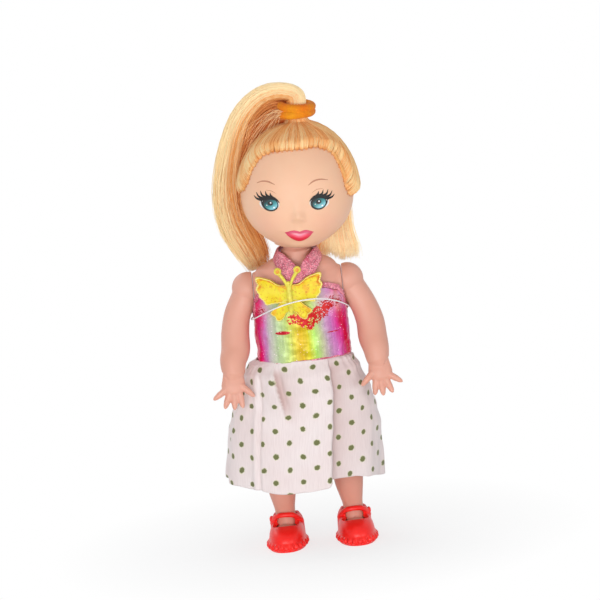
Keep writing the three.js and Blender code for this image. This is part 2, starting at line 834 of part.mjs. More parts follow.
// Shoe in its own frame, toe towards -Y: sole and scalloped welt, domed upper, opening over the instep, ankle strap.
function shoeBody(side) {
  const sides = 24;
  const ring = (grow, z, lift = 0) =>
    Array.from({ length: sides }, (_, k) => solePoint((2 * Math.PI * k) / sides, grow + lift * (k % 2), z));
  const scallop = 0.35;
  const sole = loft([
    ring(0, 0),
    ring(0, 0.5),
    ring(welt - scallop, 0.6, scallop),
    ring(welt - scallop, weltHeight - 0.3, scallop),
    ring(0.1, weltHeight),
  ]);
  const heelWall = rod("z", ankleRadius + 1.9, 1.5, strapHeight - 0.9, { y: 1.6 }, 16);
  const strap = rod("z", ankleRadius + 2.1, strapHeight - 2.1, strapHeight, { y: 0.9 }, 16);
  let upper = join(sole, shoeDome(-weltInset, shoeHeight, weltHeight - 0.2), heelWall, strap);
  for (const n of [0, 1]) {
    const knot = ball(1, 0, 0, 0).scale(0.9, 1.1, 1.3 - 0.3 * n);
    upper = upper.add(solid(knot.translate(side * 4.0, -2.4 + n * 1.5, shoeHeight + 0.6 - 0.9 * n)));
  }
  const cavity = shoeDome(-weltInset - shoeWall, shoeHeight - shoeWall, insoleZ);
  const shaft = rod("z", ankleRadius + 0.9, insoleZ, strapHeight + cutRoom, { y: 0.9 }, 16);
  const slope = Math.atan2(strapHeight - heelHeight, heelY);
  const above = block(-cutRoom, cutRoom, -cutRoom, cutRoom, 0, cutRoom)
    .rotateX(-slope)
    .translate(0, -1.6, strapHeight);
  const instep = ball(1, 0, 0, 0).scale(3.1, 2.1, 1.9).translate(0, -3.5, shoeHeight - 0.4);
  return [above, cavity, shaft, instep].reduce((rest, cut) => rest.subtract(solid(cut)), upper);
}

function shoe(side, name) {
  const mesh = piece(name, shoeBody(side), shoeRed);
  mesh.position.set(side * ankleX, 0, 0);
  mesh.rotation.z = side * radians(toeOut);
}

shoe(left, "left_shoe");
shoe(right, "right_shoe");

// Height of the bodice's upper edge round the body.
function bodiceTop(angle) {
  return along(
    [
      [0, bodiceFrontZ],
      [26, bodiceFrontZ + 0.2],
      [46, bodiceFrontZ - 1.1],
      [57, bodiceFrontZ - 3.0],
      [66, bodiceSideZ + 0.6],
      [76, bodiceSideZ],
      [112, bodiceSideZ],
      [180, bodiceBackZ],
    ],
    turnFromFront(angle),
  );
}

// Band of cloth round the torso between two angles, with its own lower and upper edge.
function band(from, to, columns, rows, lowEdge, highEdge, inside, thickness) {
  const face = (grow) => {
    const grid = [];
    for (let r = 0; r <= rows; r++) {
      grid.push(
        Array.from({ length: columns + 1 }, (_, k) => {
          const angle = from + ((to - from) * k) / columns;
          const [low, high] = [lowEdge(angle), highEdge(angle)];
          return torsoPoint(angle, low + ((high - low) * r) / rows, grow);
        }),
      );
    }
    return grid;
  };
  return sheet(face(inside + thickness), face(inside), false);
}

// Angle off straight back at which the torso's surface is at a distance from the middle.
function backAngle(distance) {
  return Math.PI / 2 - Math.acos((distance / (chestHalfWidth + restGap)) ** (torsoSquareness / 2));
}

const openingEdge = backAngle(backOpening / 2);
const wrapFrom = Math.PI / 2 + openingEdge;
const wrapTo = Math.PI / 2 + 2 * Math.PI - openingEdge;
const bodiceLow = () => bodiceBottomZ;

piece("bodice", band(wrapFrom, wrapTo, 32, 4, bodiceLow, bodiceTop, restGap, clothThickness), foil);

const trimLow = (angle) => bodiceTop(angle) + restGap / 2;
const trimHigh = (angle) => bodiceTop(angle) + restGap / 2 + trimHeight;
piece("bodice_trim", band(wrapFrom, wrapTo, 32, 1, trimLow, trimHigh, restGap, clothThickness), pinkGlitter);

// Hook and loop tapes that close the bodice at the back.
function closureTape(halfWidth, inside, top) {
  const edge = backAngle(halfWidth);
  const low = () => bodiceBottomZ + restGap;
  return band(Math.PI / 2 - edge, Math.PI / 2 + edge, 6, 4, low, () => top, inside, tapeThickness);
}

const tapeTop = bodiceBackZ + trimHeight;
piece("closure_loop_tape", closureTape(backOpening / 2 - restGap, restGap, tapeTop), tapeWhite);
const overBodice = restGap + clothThickness + restGap;
piece("closure_hook_tape", closureTape(backOpening / 2 + 1.6, overBodice, tapeTop), tapeWhite);

// Neck strap: up from the front of the bodice on both sides and round behind the neck.
function halterStrap() {
  const loop = neckRadius + restGap + strapThickness / 2 + 0.25;
  const chest = shoulderHalfDepth + restGap + strapThickness / 2;
  const foot = bodiceFrontZ + trimHeight + restGap + 0.6;
  const half = [
    [2.2, -(chest + 0.9), foot, 0, -1, 0.12],
    [2.7, -(chest + 0.3), foot + 1.5, 0.15, -1, 0.3],
    [3.7, -(chest - 0.8), foot + 3.9, 0.4, -1, 0.6],
    [loop * 0.98, -loop * 0.8, strapZ - 0.9, 0.62, -0.6, 0.55],
    [loop + 0.7, -0.6, strapZ, 0.6, -0.05, 0.8],
    [(loop + 0.6) * 0.76, (loop + 0.6) * 0.7, strapZ + 0.2, 0.45, 0.42, 0.8],
  ];
  const back = [0, loop + 0.5, strapZ + 0.2, 0, 0.6, 0.8];
  const mirrored = half.map(([x, y, z, nx, ny, nz]) => [-x, y, z, -nx, ny, nz]).reverse();
  const stations = [...half, back, ...mirrored];
  const points = stations.map(([x, y, z]) => new THREE.Vector3(x + neckX, y, z));
  const curve = new THREE.CatmullRomCurve3(points, false, "catmullrom", 0.5);
  const count = 36;
  const rings = Array.from({ length: count + 1 }, (_, i) => {
    const at = i / count;
    const place = at * (stations.length - 1);
    const here = Math.min(Math.floor(place), stations.length - 2);
    const normal = new THREE.Vector3(...stations[here].slice(3)).lerp(
      new THREE.Vector3(...stations[here + 1].slice(3)),
      place - here,
    );
    const point = curve.getPoint(at);
    const across = curve.getTangent(at).cross(normal).normalize();
    const out = across.clone().cross(curve.getTangent(at)).normalize();
    const behind = Math.min(1, Math.max(0, (point.y + chest) / (chest - 1)));
    const width = strapWidth + (strapBackWidth - strapWidth) * behind;
    const corner = (w, t) =>
      point
        .clone()
        .addScaledVector(across, (w * width) / 2)
        .addScaledVector(out, (t * strapThickness) / 2);
    return [corner(-1, -1), corner(1, -1), corner(1, 1), corner(-1, 1)];
  });
  return loft(rings);
}

piece("halter_strap", halterStrap(), pinkGlitter);

// Half of the butterfly's outline, from the top of its body round both wings to its tail.
const wingOutline = [
  [-0.5, 0.9],
  [2.4, 0.9],
  [4.6, 2.3],
  [6.6, 3.0],
  [8.2, 3.3],
  [8.5, 2.4],
  [8.1, 1.3],
  [8.6, 0.2],
  [8.0, -1.2],
  [7.9, -2.0],
  [6.9, -3.0],
  [6.2, -4.1],
  [4.6, -3.9],
  [2.2, -3.7],
  [3.6, -4.7],
  [5.3, -6.1],
  [4.9, -6.9],
  [4.3, -7.2],
  [3.9, -8.2],
  [3.1, -8.4],
  [2.0, -7.6],
  [1.2, -6.4],
  [-0.5, -5.5],
];
const wingFold = { [left]: 3, [right]: 12 }; // degrees each wing leans back

function butterfly() {
  const size = butterflySpan / 17.2;
  const wing = (side) => {
    const shape = new THREE.Shape(wingOutline.map(([x, z]) => new THREE.Vector2(side * x * size, z * size)));
    const flat = new THREE.ExtrudeGeometry(shape, { depth: butterflyThickness, bevelEnabled: false });
    return flat.rotateX(Math.PI / 2).rotateZ(side * radians(wingFold[side]));
  };
  const front = -butterflyThickness / 2;
  let whole = solid(wing(left)).add(solid(wing(right)));
  const trunk = ball(1, 0, 0, 0).scale(0.95, 0.62, 4.2).translate(0, front - 0.12, -2.3 * size);
  whole = whole.add(solid(trunk));
  for (const side of [left, right]) {
    const tip = new THREE.Vector3(side * 2.4 * size, front, 4.2 * size);
    const root = new THREE.Vector3(side * 0.3 * size, front, 0.3);
    const middle = root.clone().lerp(tip, 0.5);
    whole = whole.add(solid(limb([root, middle, tip], [0.34, 0.34, 0.34], 6)));
    whole = whole.add(solid(ball(0.72 * size, tip.x, tip.y, tip.z)));
  }
  return whole;
}

const bodiceFrontY = -(chestHalfDepth + restGap + clothThickness);
const butterflyMesh = piece("butterfly", butterfly(), yellow);
butterflyMesh.position.set(butterflyX, bodiceFrontY - restGap - 0.1, butterflyZ);

// Thin elastic round the chest, over the butterfly and the closure.
function chestElastic() {
  const width = chestHalfWidth + restGap + clothThickness + elasticRadius + 0.15;
  const frontDepth = chestHalfDepth + 3 * restGap + clothThickness + butterflyThickness + elasticRadius + 0.8;
  const backDepth = chestHalfDepth + overBodice + tapeThickness + restGap + elasticRadius;
  const count = 40;
  const sides = 5;
  const centre = (i) => {
    const angle = (2 * Math.PI * i) / count;
    const ahead = Math.max(0, -Math.sin(angle));
    return new THREE.Vector3(
      width * Math.cos(angle),
      (Math.sin(angle) < 0 ? frontDepth : backDepth) * Math.sin(angle),
      elasticSideZ + elasticRise * ahead ** 1.5 + elasticLean * Math.cos(angle) * ahead,
    );
  };
  const points = [];
  const triangles = [];
  for (let i = 0; i < count; i++) {
    const [here, before, after] = [centre(i), centre(i - 1), centre(i + 1)];
    const direction = after.clone().sub(before).normalize();
    const across = new THREE.Vector3(0, 0, 1).cross(direction).normalize();
    const up = direction.clone().cross(across);
    for (let k = 0; k < sides; k++) {
      const angle = (2 * Math.PI * k) / sides;
      points.push(
        here
          .clone()
          .addScaledVector(across, elasticRadius * Math.cos(angle))
          .addScaledVector(up, elasticRadius * Math.sin(angle)),
      );
      const next = (i + 1) % count;
      const [a, b] = [i * sides + k, i * sides + ((k + 1) % sides)];
      const [c, d] = [next * sides + ((k + 1) % sides), next * sides + k];
      triangles.push([a, b, c], [a, c, d]);
    }
  }
  return closed(points, triangles);
}

piece("chest_elastic", chestElastic(), whiteCloth);

// Gathered skirt: flares from the waist, stands out in soft folds, with one deep pleat in front and a slit behind.
function skirt() {
  const columns = 64;
  const rows = 8;
  const drop = skirtTopZ - hemZ;
  const topWidth = waistHalfWidth + restGap + skirtThickness + 0.3;
  const topDepth = waistHalfDepth + restGap + skirtThickness + 0.3;
  const flare = [
    [0, 0],
    [0.12, 0.39],
    [0.25, 0.66],
    [0.38, 0.85],
    [0.56, 0.96],
    [1, 1],
  ];
  const swell = [
    [0, 0],
    [0.14, 0.28],
    [0.3, 0.48],
    [1, 1],
  ];
  const slit = backAngle(backSlit / 2 + 0.25);
  const pleatAngle = -Math.PI / 2 + 0.24;
  const face = (inward) => {
    const grid = [];
    for (let r = 0; r <= rows; r++) {
      const down = 1 - r / rows;
      const z = skirtTopZ - drop * down;
      const width = topWidth + (hemHalfWidth - topWidth) * along(flare, down);
      const depth = topDepth + (hemHalfDepth - topDepth) * along(swell, down);
      const shift = hemShift * down ** 1.4;
      grid.push(
        Array.from({ length: columns + 1 }, (_, k) => {
          const angle = Math.PI / 2 + slit + ((2 * Math.PI - 2 * slit) * k) / columns;
          const wrapped = angle > Math.PI ? angle - 2 * Math.PI : angle;
          const past = wrapped - pleatAngle;
          const fade = Math.exp(-((past / 0.55) ** 2));
          const step = (past < 0 ? 0.5 : -0.5) * pleatDepth * fade * down ** 0.6;
          const wave = foldDepth * down ** 1.2 * Math.sin(foldCount * angle + 0.8) - (foldDepth * down) / 2;
          const grow = wave + step - inward;
          return new THREE.Vector3(
            Math.cos(angle) * (width + grow) + shift,
            Math.sin(angle) * (depth + grow),
            z,
          );
        }),
      );
    }
    return grid;
  };
  return sheet(face(0), face(skirtThickness), false);
}

piece("skirt", skirt(), whiteCloth);

export default doll;
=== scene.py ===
# Looks of the jointed child doll: skin, painted face, rooted hair, halter dress and moulded shoes.
# Shapes are worked out in millimetres, in the CAD frame: +Z up, the doll faces -Y, its left hand at +X.
import math
import bpy
import bmesh
import numpy as np
from mathutils import Matrix, Vector


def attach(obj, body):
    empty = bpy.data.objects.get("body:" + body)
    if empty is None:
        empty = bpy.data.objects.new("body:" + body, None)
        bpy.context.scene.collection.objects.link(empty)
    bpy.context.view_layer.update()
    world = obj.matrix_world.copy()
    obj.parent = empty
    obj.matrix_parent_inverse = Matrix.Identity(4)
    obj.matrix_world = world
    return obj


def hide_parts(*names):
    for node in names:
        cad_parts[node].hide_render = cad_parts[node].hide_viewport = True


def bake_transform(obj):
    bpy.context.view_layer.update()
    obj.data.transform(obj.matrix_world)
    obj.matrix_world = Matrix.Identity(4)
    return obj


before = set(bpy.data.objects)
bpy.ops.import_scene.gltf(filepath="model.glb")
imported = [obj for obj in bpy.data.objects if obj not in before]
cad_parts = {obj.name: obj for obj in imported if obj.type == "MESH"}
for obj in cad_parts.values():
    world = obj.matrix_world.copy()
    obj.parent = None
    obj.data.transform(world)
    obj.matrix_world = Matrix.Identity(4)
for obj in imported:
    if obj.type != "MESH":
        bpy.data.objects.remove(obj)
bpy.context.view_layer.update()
mm = 0.001


# Curves and grids, worked out as whole arrays.

def smooth(share):  # 3s^2 - 2s^3 of a share held between 0 and 1
    share = np.clip(share, 0, 1)
    return share * share * (3 - 2 * share)


def along(stations, at):  # value at a place, eased from each (place, value) station to the next
    places, values = np.array(stations, float).T
    at = np.asarray(at, float)
    i = np.clip(np.searchsorted(places, at, side="right") - 1, 0, len(places) - 2)
    return values[i] + (values[i + 1] - values[i]) * smooth((at - places[i]) / (places[i + 1] - places[i]))


def bell(x, z, atX, atZ, wide, high):  # e to minus the squared distance, in half widths and half heights
    return np.exp(-(((x - atX) / wide) ** 2) - ((z - atZ) / high) ** 2)


def bulge(value, power):  # size to a power with the sign kept, the curve of a superellipse
    return np.sign(value) * np.abs(value) ** power


def unit(vectors):  # each vector over its length
    return vectors / np.maximum(np.linalg.norm(vectors, axis=-1, keepdims=True), 1e-9)


def ripple(points, length, seed, count=7):  # sine waves in drawn directions, summed over the root of their number
    draw = np.random.default_rng(seed)
    waves = unit(draw.normal(size=(count, 3))) * (2 * math.pi / length) * draw.uniform(0.6, 1.5, (count, 1))
    return np.sin(points @ waves.T + draw.uniform(0, 6.28, count)).sum(axis=-1) / math.sqrt(count)


def through(points, count):  # Catmull-Rom: a cubic through each two rows, sloped by the rows beside them
    points = np.asarray(points, float)
    ends = np.vstack([2 * points[0] - points[1], points, 2 * points[-1] - points[-2]])
    at = np.linspace(0, len(points) - 1, count)
    i = np.minimum(at.astype(int), len(points) - 2)
    t = (at - i)[:, None]
    a, b, c, d = ends[i], ends[i + 1], ends[i + 2], ends[i + 3]
    return 0.5 * (2 * b + (c - a) * t + (2 * a - 5 * b + 4 * c - d) * t ** 2 + (3 * b - a - 3 * c + d) * t ** 3)


def circle(count):  # even turns from 0 to just under a full one
    return np.linspace(0, 2 * math.pi, count, endpoint=False)


def pointGrid(*parts):  # one array of points from its broadcast coordinates
    return np.stack(np.broadcast_arrays(*parts), axis=-1)


def turned(x, y, angle):  # x cos - y sin and x sin + y cos
    c, s = math.cos(angle), math.sin(angle)
    return x * c - y * s, x * s + y * c


def gridFaces(rows, columns, joinColumns=False, first=0, flip=False):  # quads between neighbours of a grid
    r, c = np.meshgrid(np.arange(rows - 1), np.arange(columns if joinColumns else columns - 1), indexing="ij")
    c2 = (c + 1) % columns
    corners = [r * columns + c, r * columns + c2, (r + 1) * columns + c2, (r + 1) * columns + c]
    faces = np.stack([x.ravel() for x in corners], axis=1) + first
    return faces[:, ::-1] if flip else faces


def smoothed(piece):  # every face shaded smooth
    piece.data.polygons.foreach_set("use_smooth", np.ones(len(piece.data.polygons), bool))
    return piece


def makeMesh(name, points, faces, uv=None, values=None, scale=mm):  # faces come in groups with equal corners
    mesh = bpy.data.meshes.new(name)
    faceList = [f for group in faces for f in np.asarray(group).tolist()]
    mesh.from_pydata((np.asarray(points, float) * scale).tolist(), [], faceList)
    if uv is not None:
        corner = np.empty(len(mesh.loops), np.int32)
        mesh.loops.foreach_get("vertex_index", corner)
        mesh.uv_layers.new(name="UVMap").data.foreach_set("uv", np.asarray(uv, np.float32)[corner].ravel())
    for key, value in (values or {}).items():
        mesh.attributes.new(key, "FLOAT", "POINT").data.foreach_set("value", np.asarray(value, np.float32).ravel())
    mesh.update()
    piece = bpy.data.objects.new(name, mesh)
    bpy.context.scene.collection.objects.link(piece)
    return smoothed(piece)


def turnOutwards(piece, near=1e-7):  # points this near each other merged, then the normals worked out again
    work = bmesh.new()
    work.from_mesh(piece.data)
    bmesh.ops.remove_doubles(work, verts=work.verts, dist=near)
    bmesh.ops.recalc_face_normals(work, faces=work.faces)
    work.to_mesh(piece.data)
    work.free()
    return smoothed(piece)


def sheetFaces(rows, columns, joinColumns):  # outer grid, inner grid and a strip of quads round each open edge
    half = rows * columns
    faces = [gridFaces(rows, columns, joinColumns), gridFaces(rows, columns, joinColumns, half, True)]
    index = np.arange(half).reshape(rows, columns)
    edges = [index[0, ::-1], index[-1]]
    if joinColumns:
        edges = [np.append(edge, edge[0]) for edge in edges]
    else:
        edges += [index[:, 0], index[::-1, -1]]
    return faces + [np.stack([e[:-1], e[1:], e[1:] + half, e[:-1] + half], axis=1) for e in edges]


def sheetPiece(name, outer, inner, joinColumns=False, uv=None, values=None):  # cloth with both faces and its edges
    rows, columns = outer.shape[:2]
    points = np.concatenate([outer.reshape(-1, 3), inner.reshape(-1, 3)])
    twice = lambda value: np.concatenate([value.reshape(rows * columns, -1)] * 2)
    uv = None if uv is None else twice(uv)
    values = {key: twice(value) for key, value in (values or {}).items()}
    return turnOutwards(makeMesh(name, points, sheetFaces(rows, columns, joinColumns), uv, values))


def tubeFaces(rings, sides, count=1):  # tubes of equal length, one after the other, with closed ends
    start = (np.arange(count) * rings * sides)[:, None, None]
    ring = start + (np.arange(rings - 1) * sides)[None, :, None]
    k = np.arange(sides)[None, None, :]
    k2 = (k + 1) % sides
    body = np.stack([ring + k, ring + k2, ring + sides + k2, ring + sides + k], axis=-1)
    end = start[:, 0, 0][:, None]
    caps = [end + np.arange(sides)[::-1], end + (rings - 1) * sides + np.arange(sides)]
    return [body.reshape(-1, 4), *caps]


def tubePoints(paths, radii, sides, reference, flat=1.0):  # path + radius (across cos + lift sin) for each turn
    run = unit(np.gradient(paths, axis=1))
    across = unit(np.cross(run, np.broadcast_to(reference, paths.shape)))
    lift = np.cross(across, run)
    turn = circle(sides)
    ring = across[:, :, None] * np.cos(turn)[:, None] + lift[:, :, None] * np.sin(turn)[:, None] * flat
    return paths[:, :, None] + ring * radii[:, :, None, None]


def strandPiece(name, paths, radii, reference, tint, sides=3):  # many thin tubes in one mesh, tinted one by one
    n, m = paths.shape[:2]
    points = tubePoints(paths, radii, sides, reference)
    each = np.broadcast_to(tint[:, None, None], (n, m, sides))
    reach = np.broadcast_to(np.linspace(0, 1, m)[None, :, None], (n, m, sides))
    return makeMesh(name, points.reshape(-1, 3), tubeFaces(m, sides, n), None, {"tint": each, "reach": reach})


def tubeGrid(path, radii, sides=24, reference=(0, 1, 0), flat=1.0):  # one closed tube as (points, faces)
    path, radii = np.asarray(path, float)[None], np.asarray(radii, float)[None]
    ring = tubePoints(path, radii, sides, np.array(reference, float), flat)
    return ring.reshape(-1, 3), tubeFaces(path.shape[1], sides)


def ringsGrid(rings):  # closed body through rings of points (rows, columns, 3)
    rows, columns = rings.shape[:2]
    last = (rows - 1) * columns
    caps = [[list(range(columns))[::-1]], [list(range(last, last + columns))]]
    return rings.reshape(-1, 3), [gridFaces(rows, columns, True), *caps]


def roundGrid(middle, half, rows=24, columns=32):  # ellipsoid: middle + half (cos cos, cos sin, sin)
    tilt, turn = np.meshgrid(np.linspace(-1.56, 1.56, rows), circle(columns), indexing="ij")
    ball = pointGrid(np.cos(tilt) * np.cos(turn), np.cos(tilt) * np.sin(turn), np.sin(tilt))
    return ringsGrid(ball * np.array(half) + np.array(middle))


def blockGrid(low, high):  # box as (points, faces)
    x, y, z = zip(low, high)
    points = np.array([(x[i], y[j], z[k]) for k in (0, 1) for j in (0, 1) for i in (0, 1)], float)
    return points, [[(0, 2, 3, 1), (4, 5, 7, 6), (0, 1, 5, 4), (2, 6, 7, 3), (0, 4, 6, 2), (1, 3, 7, 5)]]


def loopGrid(path, across, up, radius, sides):  # closed ring of cord: path + radius (across cos + up sin)
    k = circle(sides)
    ring = across[:, None] * np.cos(k)[None, :, None] + up[:, None] * np.sin(k)[None, :, None]
    grid = path[:, None] + ring * radius[..., None]
    return np.concatenate([grid, grid[:1]]).reshape(-1, 3), [gridFaces(len(path) + 1, sides, True)]


def joined(name, parts, uv=None, scale=mm, near=1e-7):  # several (points, faces) in one mesh
    points, faces, first = [], [], 0
    for partPoints, partFaces in parts:
        points.append(partPoints)
        faces += [[[first + v for v in face] for face in np.asarray(group).tolist()] for group in partFaces]
        first += len(partPoints)
    piece = turnOutwards(makeMesh(name, np.concatenate(points), faces, uv, scale=1.0), near)
    piece.data.transform(Matrix.Scale(scale, 4))
    return piece


def fused(name, parts, voxel, rounds, cuts=()):  # parts grown together by a voxel remesh, cut and smoothed
    def remesh(label):
        step = piece.modifiers.new(label, "REMESH")
        step.mode, step.voxel_size = "VOXEL", voxel

    piece = joined(name, parts, scale=1.0)
    remesh("Grow together")
    tools = [joined(f"{name}Cut{i}", [cut], scale=1.0) for i, cut in enumerate(cuts)]
    for tool in tools:
        carve = piece.modifiers.new("Carve", "BOOLEAN")
        carve.operation, carve.solver, carve.object = "DIFFERENCE", "EXACT", tool
    if tools:
        remesh("Even out")
    soften = piece.modifiers.new("Soften", "SMOOTH")
    soften.factor, soften.iterations = 0.5, rounds
    mesh = bpy.data.meshes.new_from_object(piece.evaluated_get(bpy.context.evaluated_depsgraph_get()))
    piece.modifiers.clear()
    old, piece.data = piece.data, mesh
    for unused in (old, *[tool.data for tool in tools]):
        bpy.data.meshes.remove(unused)
    piece.data.transform(Matrix.Scale(mm, 4))
    return smoothed(piece)


# Materials. A Wire is what comes out of a node, and sums with it become Math nodes.

def screen(colour):  # a grey level or a screen colour, in the renderer's linear values
    if isinstance(colour, Wire) or (isinstance(colour, tuple) and len(colour) == 4):
        return colour
    three = (colour,) * 3 if isinstance(colour, (int, float)) else colour
    return tuple(c / 12.92 if c <= 0.04045 else ((c + 0.055) / 1.055) ** 2.4 for c in three) + (1.0,)


def fill(tree, socket, value):  # a wire is linked, a plain value is set
    if isinstance(value, Wire):
        tree.links.new(value.socket, socket)
    else:
        socket.default_value = value


def add(tree, kind, inputs=None, out=0, **settings):  # one node, as the wire from its output
    node = tree.nodes.new("ShaderNode" + kind)
    for key, value in settings.items():
        setattr(node, key, value)
    for key, value in (inputs or {}).items():
        fill(tree, node.inputs[key], value)
    return Wire(tree, node.outputs[out])


class Wire:
    def __init__(self, tree, socket):
        self.tree, self.socket = tree, socket

    def math(self, kind, *others, clamp=False):
        return add(self.tree, "Math", dict(enumerate((self, *others))), operation=kind, use_clamp=clamp)

    def __add__(self, other):
        return self.math("ADD", other)

    def __sub__(self, other):
        return self.math("SUBTRACT", other)

    def __mul__(self, other):
        return self.math("MULTIPLY", other)

    def parts(self):  # x, y and z
        return [Wire(self.tree, s) for s in add(self.tree, "SeparateXYZ", {0: self}).socket.node.outputs]

    def stretched(self, scale=(1, 1, 1), shift=(0, 0, 0)):
        return add(self.tree, "Mapping", {"Vector": self, "Scale": scale, "Location": shift})

    def noise(self, scale, detail=2.0, roughness=0.5):
        look = {"Vector": self, "Scale": scale, "Detail": detail, "Roughness": roughness}
        return add(self.tree, "TexNoise", look)

    def cells(self, scale):  # one drawn level for each Voronoi cell
        colour = add(self.tree, "TexVoronoi", {"Vector": self, "Scale": scale}, "Color")
        return add(self.tree, "SeparateColor", {"Color": colour})

    def ramp(self, stops):  # stops are (place, grey level or colour)
        out = add(self.tree, "ValToRGB", {"Fac": self}, "Color")
        band = out.socket.node.color_ramp
        while len(band.elements) < len(stops):
            band.elements.new(0.5)
        for element, (at, colour) in zip(band.elements, stops):
            element.position, element.color = at, screen(colour)
        return out

    def mixed(self, factor, other, mode="MIX"):
        inputs = {0: factor, 6: self, 7: screen(other)}
        return add(self.tree, "Mix", inputs, 2, data_type="RGBA", blend_type=mode)


class Paint:  # a material under way
    def __init__(self, name, roughness=0.5, **sockets):
        self.made = bpy.data.materials.new(name)
        self.made.use_nodes = True
        self.tree = self.made.node_tree
        self.shader = self.tree.nodes["Principled BSDF"]
        for key, value in dict(Roughness=roughness, **sockets).items():
            self.shader.inputs[key.replace("_", " ")].default_value = value

    def where(self):  # object coordinates
        return add(self.tree, "TexCoord", None, "Object")

    def uv(self):
        return add(self.tree, "UVMap", uv_map="UVMap")

    def attribute(self, name):
        return add(self.tree, "Attribute", None, "Fac", attribute_name=name)

    def colour(self, wire, socket="Base Color"):
        fill(self.tree, self.shader.inputs[socket], wire)

    def bump(self, height, strength, distance=0.0001, **under):  # under: Normal of a bump below this one
        inputs = {"Height": height, "Strength": strength, "Distance": distance, **under}
        normal = add(self.tree, "Bump", inputs)
        fill(self.tree, self.shader.inputs["Normal"], normal)
        return normal


def mottled(name, roughness, scale, detail, stops, fine=None, **sockets):  # colour by noise, fine noise as bump
    paint = Paint(name, roughness, **sockets)
    where = paint.where()
    paint.colour(where.noise(scale, detail).ramp(stops))
    if fine:
        paint.bump(where.noise(*fine[:2]), *fine[2:])
    return paint


def plainPaint(name, colour, roughness=0.4):  # one colour, a tenth deeper in patches
    return mottled(name, roughness, 1500, 2, [(0.3, tuple(c * 0.9 for c in colour)), (0.7, colour)])


def skinMaterial(name, light, deep):  # two close tones by soft noise, fine pores as bump
    glow = dict(Subsurface_Weight=0.12, Subsurface_Scale=0.0015, Subsurface_Radius=(1.0, 0.45, 0.3))
    return mottled(name, 0.46, 90, 3, [(0.3, deep), (0.7, light)], (2600, 2, 0.12, 0.00003), **glow)


def hairMaterial(name, dark, mid, light, glow, run):  # run: painted highlight and painted shade along the strand, 0.5 leaves it as it is; glow: emission in the strand's own colour, a painted glow
    paint = Paint(name, 0.42, Specular_IOR_Level=0.3, Anisotropic=0.5, Emission_Strength=glow)
    # painted light along each strand: darker where it lies in shade, lighter in a highlight band
    change = paint.attribute("reach").ramp([(at, (level, level, level, 1)) for at, level in run])
    shade = (paint.attribute("tint") + change).math("SUBTRACT", 0.5, clamp=True)
    colour = shade.ramp([(0.0, dark), (0.45, mid), (1.0, light)])
    paint.colour(colour)
    # painted glow: the hair gives off light in its own colour, in place of light let through the strands
    paint.colour(colour, "Emission Color")
    return paint


def farFrom(parts, x, z, wide, high):  # squared distance from a spot, in half widths and half heights
    across, up = (parts[0] - x * mm) * (1000 / wide), (parts[2] - z * mm) * (1000 / high)
    return across * across + up * up


def spread(parts, spots, sharp=0.8):  # sum of e to minus sharp times the squared distance from each spot
    bumps = [(farFrom(parts, *spot) * -sharp).math("EXPONENT") for spot in spots]
    return sum(bumps[1:], bumps[0])


def give(piece, paint, body, *nodes, slot=None):  # material, body and the CAD nodes that the piece stands for
    piece.data.materials.clear()
    piece.data.materials.append(paint.made)
    if body:
        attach(piece, body)
    if nodes:
        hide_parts(*nodes)
    return piece


# Torso, arms and legs.

bodySkin = skinMaterial("Skin, hard plastic", (0.875, 0.64, 0.56), (0.855, 0.61, 0.525))
legSkin = skinMaterial("Skin, legs", (0.865, 0.605, 0.525), (0.845, 0.575, 0.495))

torso = dict(
    hipZ=41, hipReach=6.0, hipX=(3.3, 15.4), shoulderZ=67.8, shoulderFlat=11.2, squareness=2.3, voxel=0.28,
    seam=0.00004,
    widths=[(34, 7.1), (39, 11.4), (49.5, 11.0), (60, 11.2), (67.8, 12.1), (70.5, 11.5), (72.2, 10.2), (74.2, 6.9),
        (75.0, 4.6)],
    depths=[(34, 4.6), (39, 7.6), (49.5, 7.4), (60, 7.5), (67.8, 6.4), (72.2, 4.9), (74.2, 4.25), (75.0, 4.0)],
    neck=[(0.6, 0, 71, 4.6), (0.6, 0, 74, 4.25), (0.6, 0, 76, 4.0), (0.6, 0, 76.9, 3.95), (0.6, 0, 77.1, 3.3),
        (0.6, 0, 83, 3.3)],
)


def torsoPoint(turn, z, grow=0.0):  # superellipse whose half width and depth run with the height
    power = 2 / torso["squareness"]
    wide, deep = along(torso["widths"], z) + grow, along(torso["depths"], z) + grow
    return pointGrid(bulge(np.cos(turn), power) * wide, bulge(np.sin(turn), power) * deep, z)


def pegBlock(side, low, high, reach, z):  # cylinder along X
    turn = circle(40)
    rings = [pointGrid(side * x, reach * np.cos(turn), z + reach * np.sin(turn)) for x in (low, high)]
    return ringsGrid(np.stack(rings))


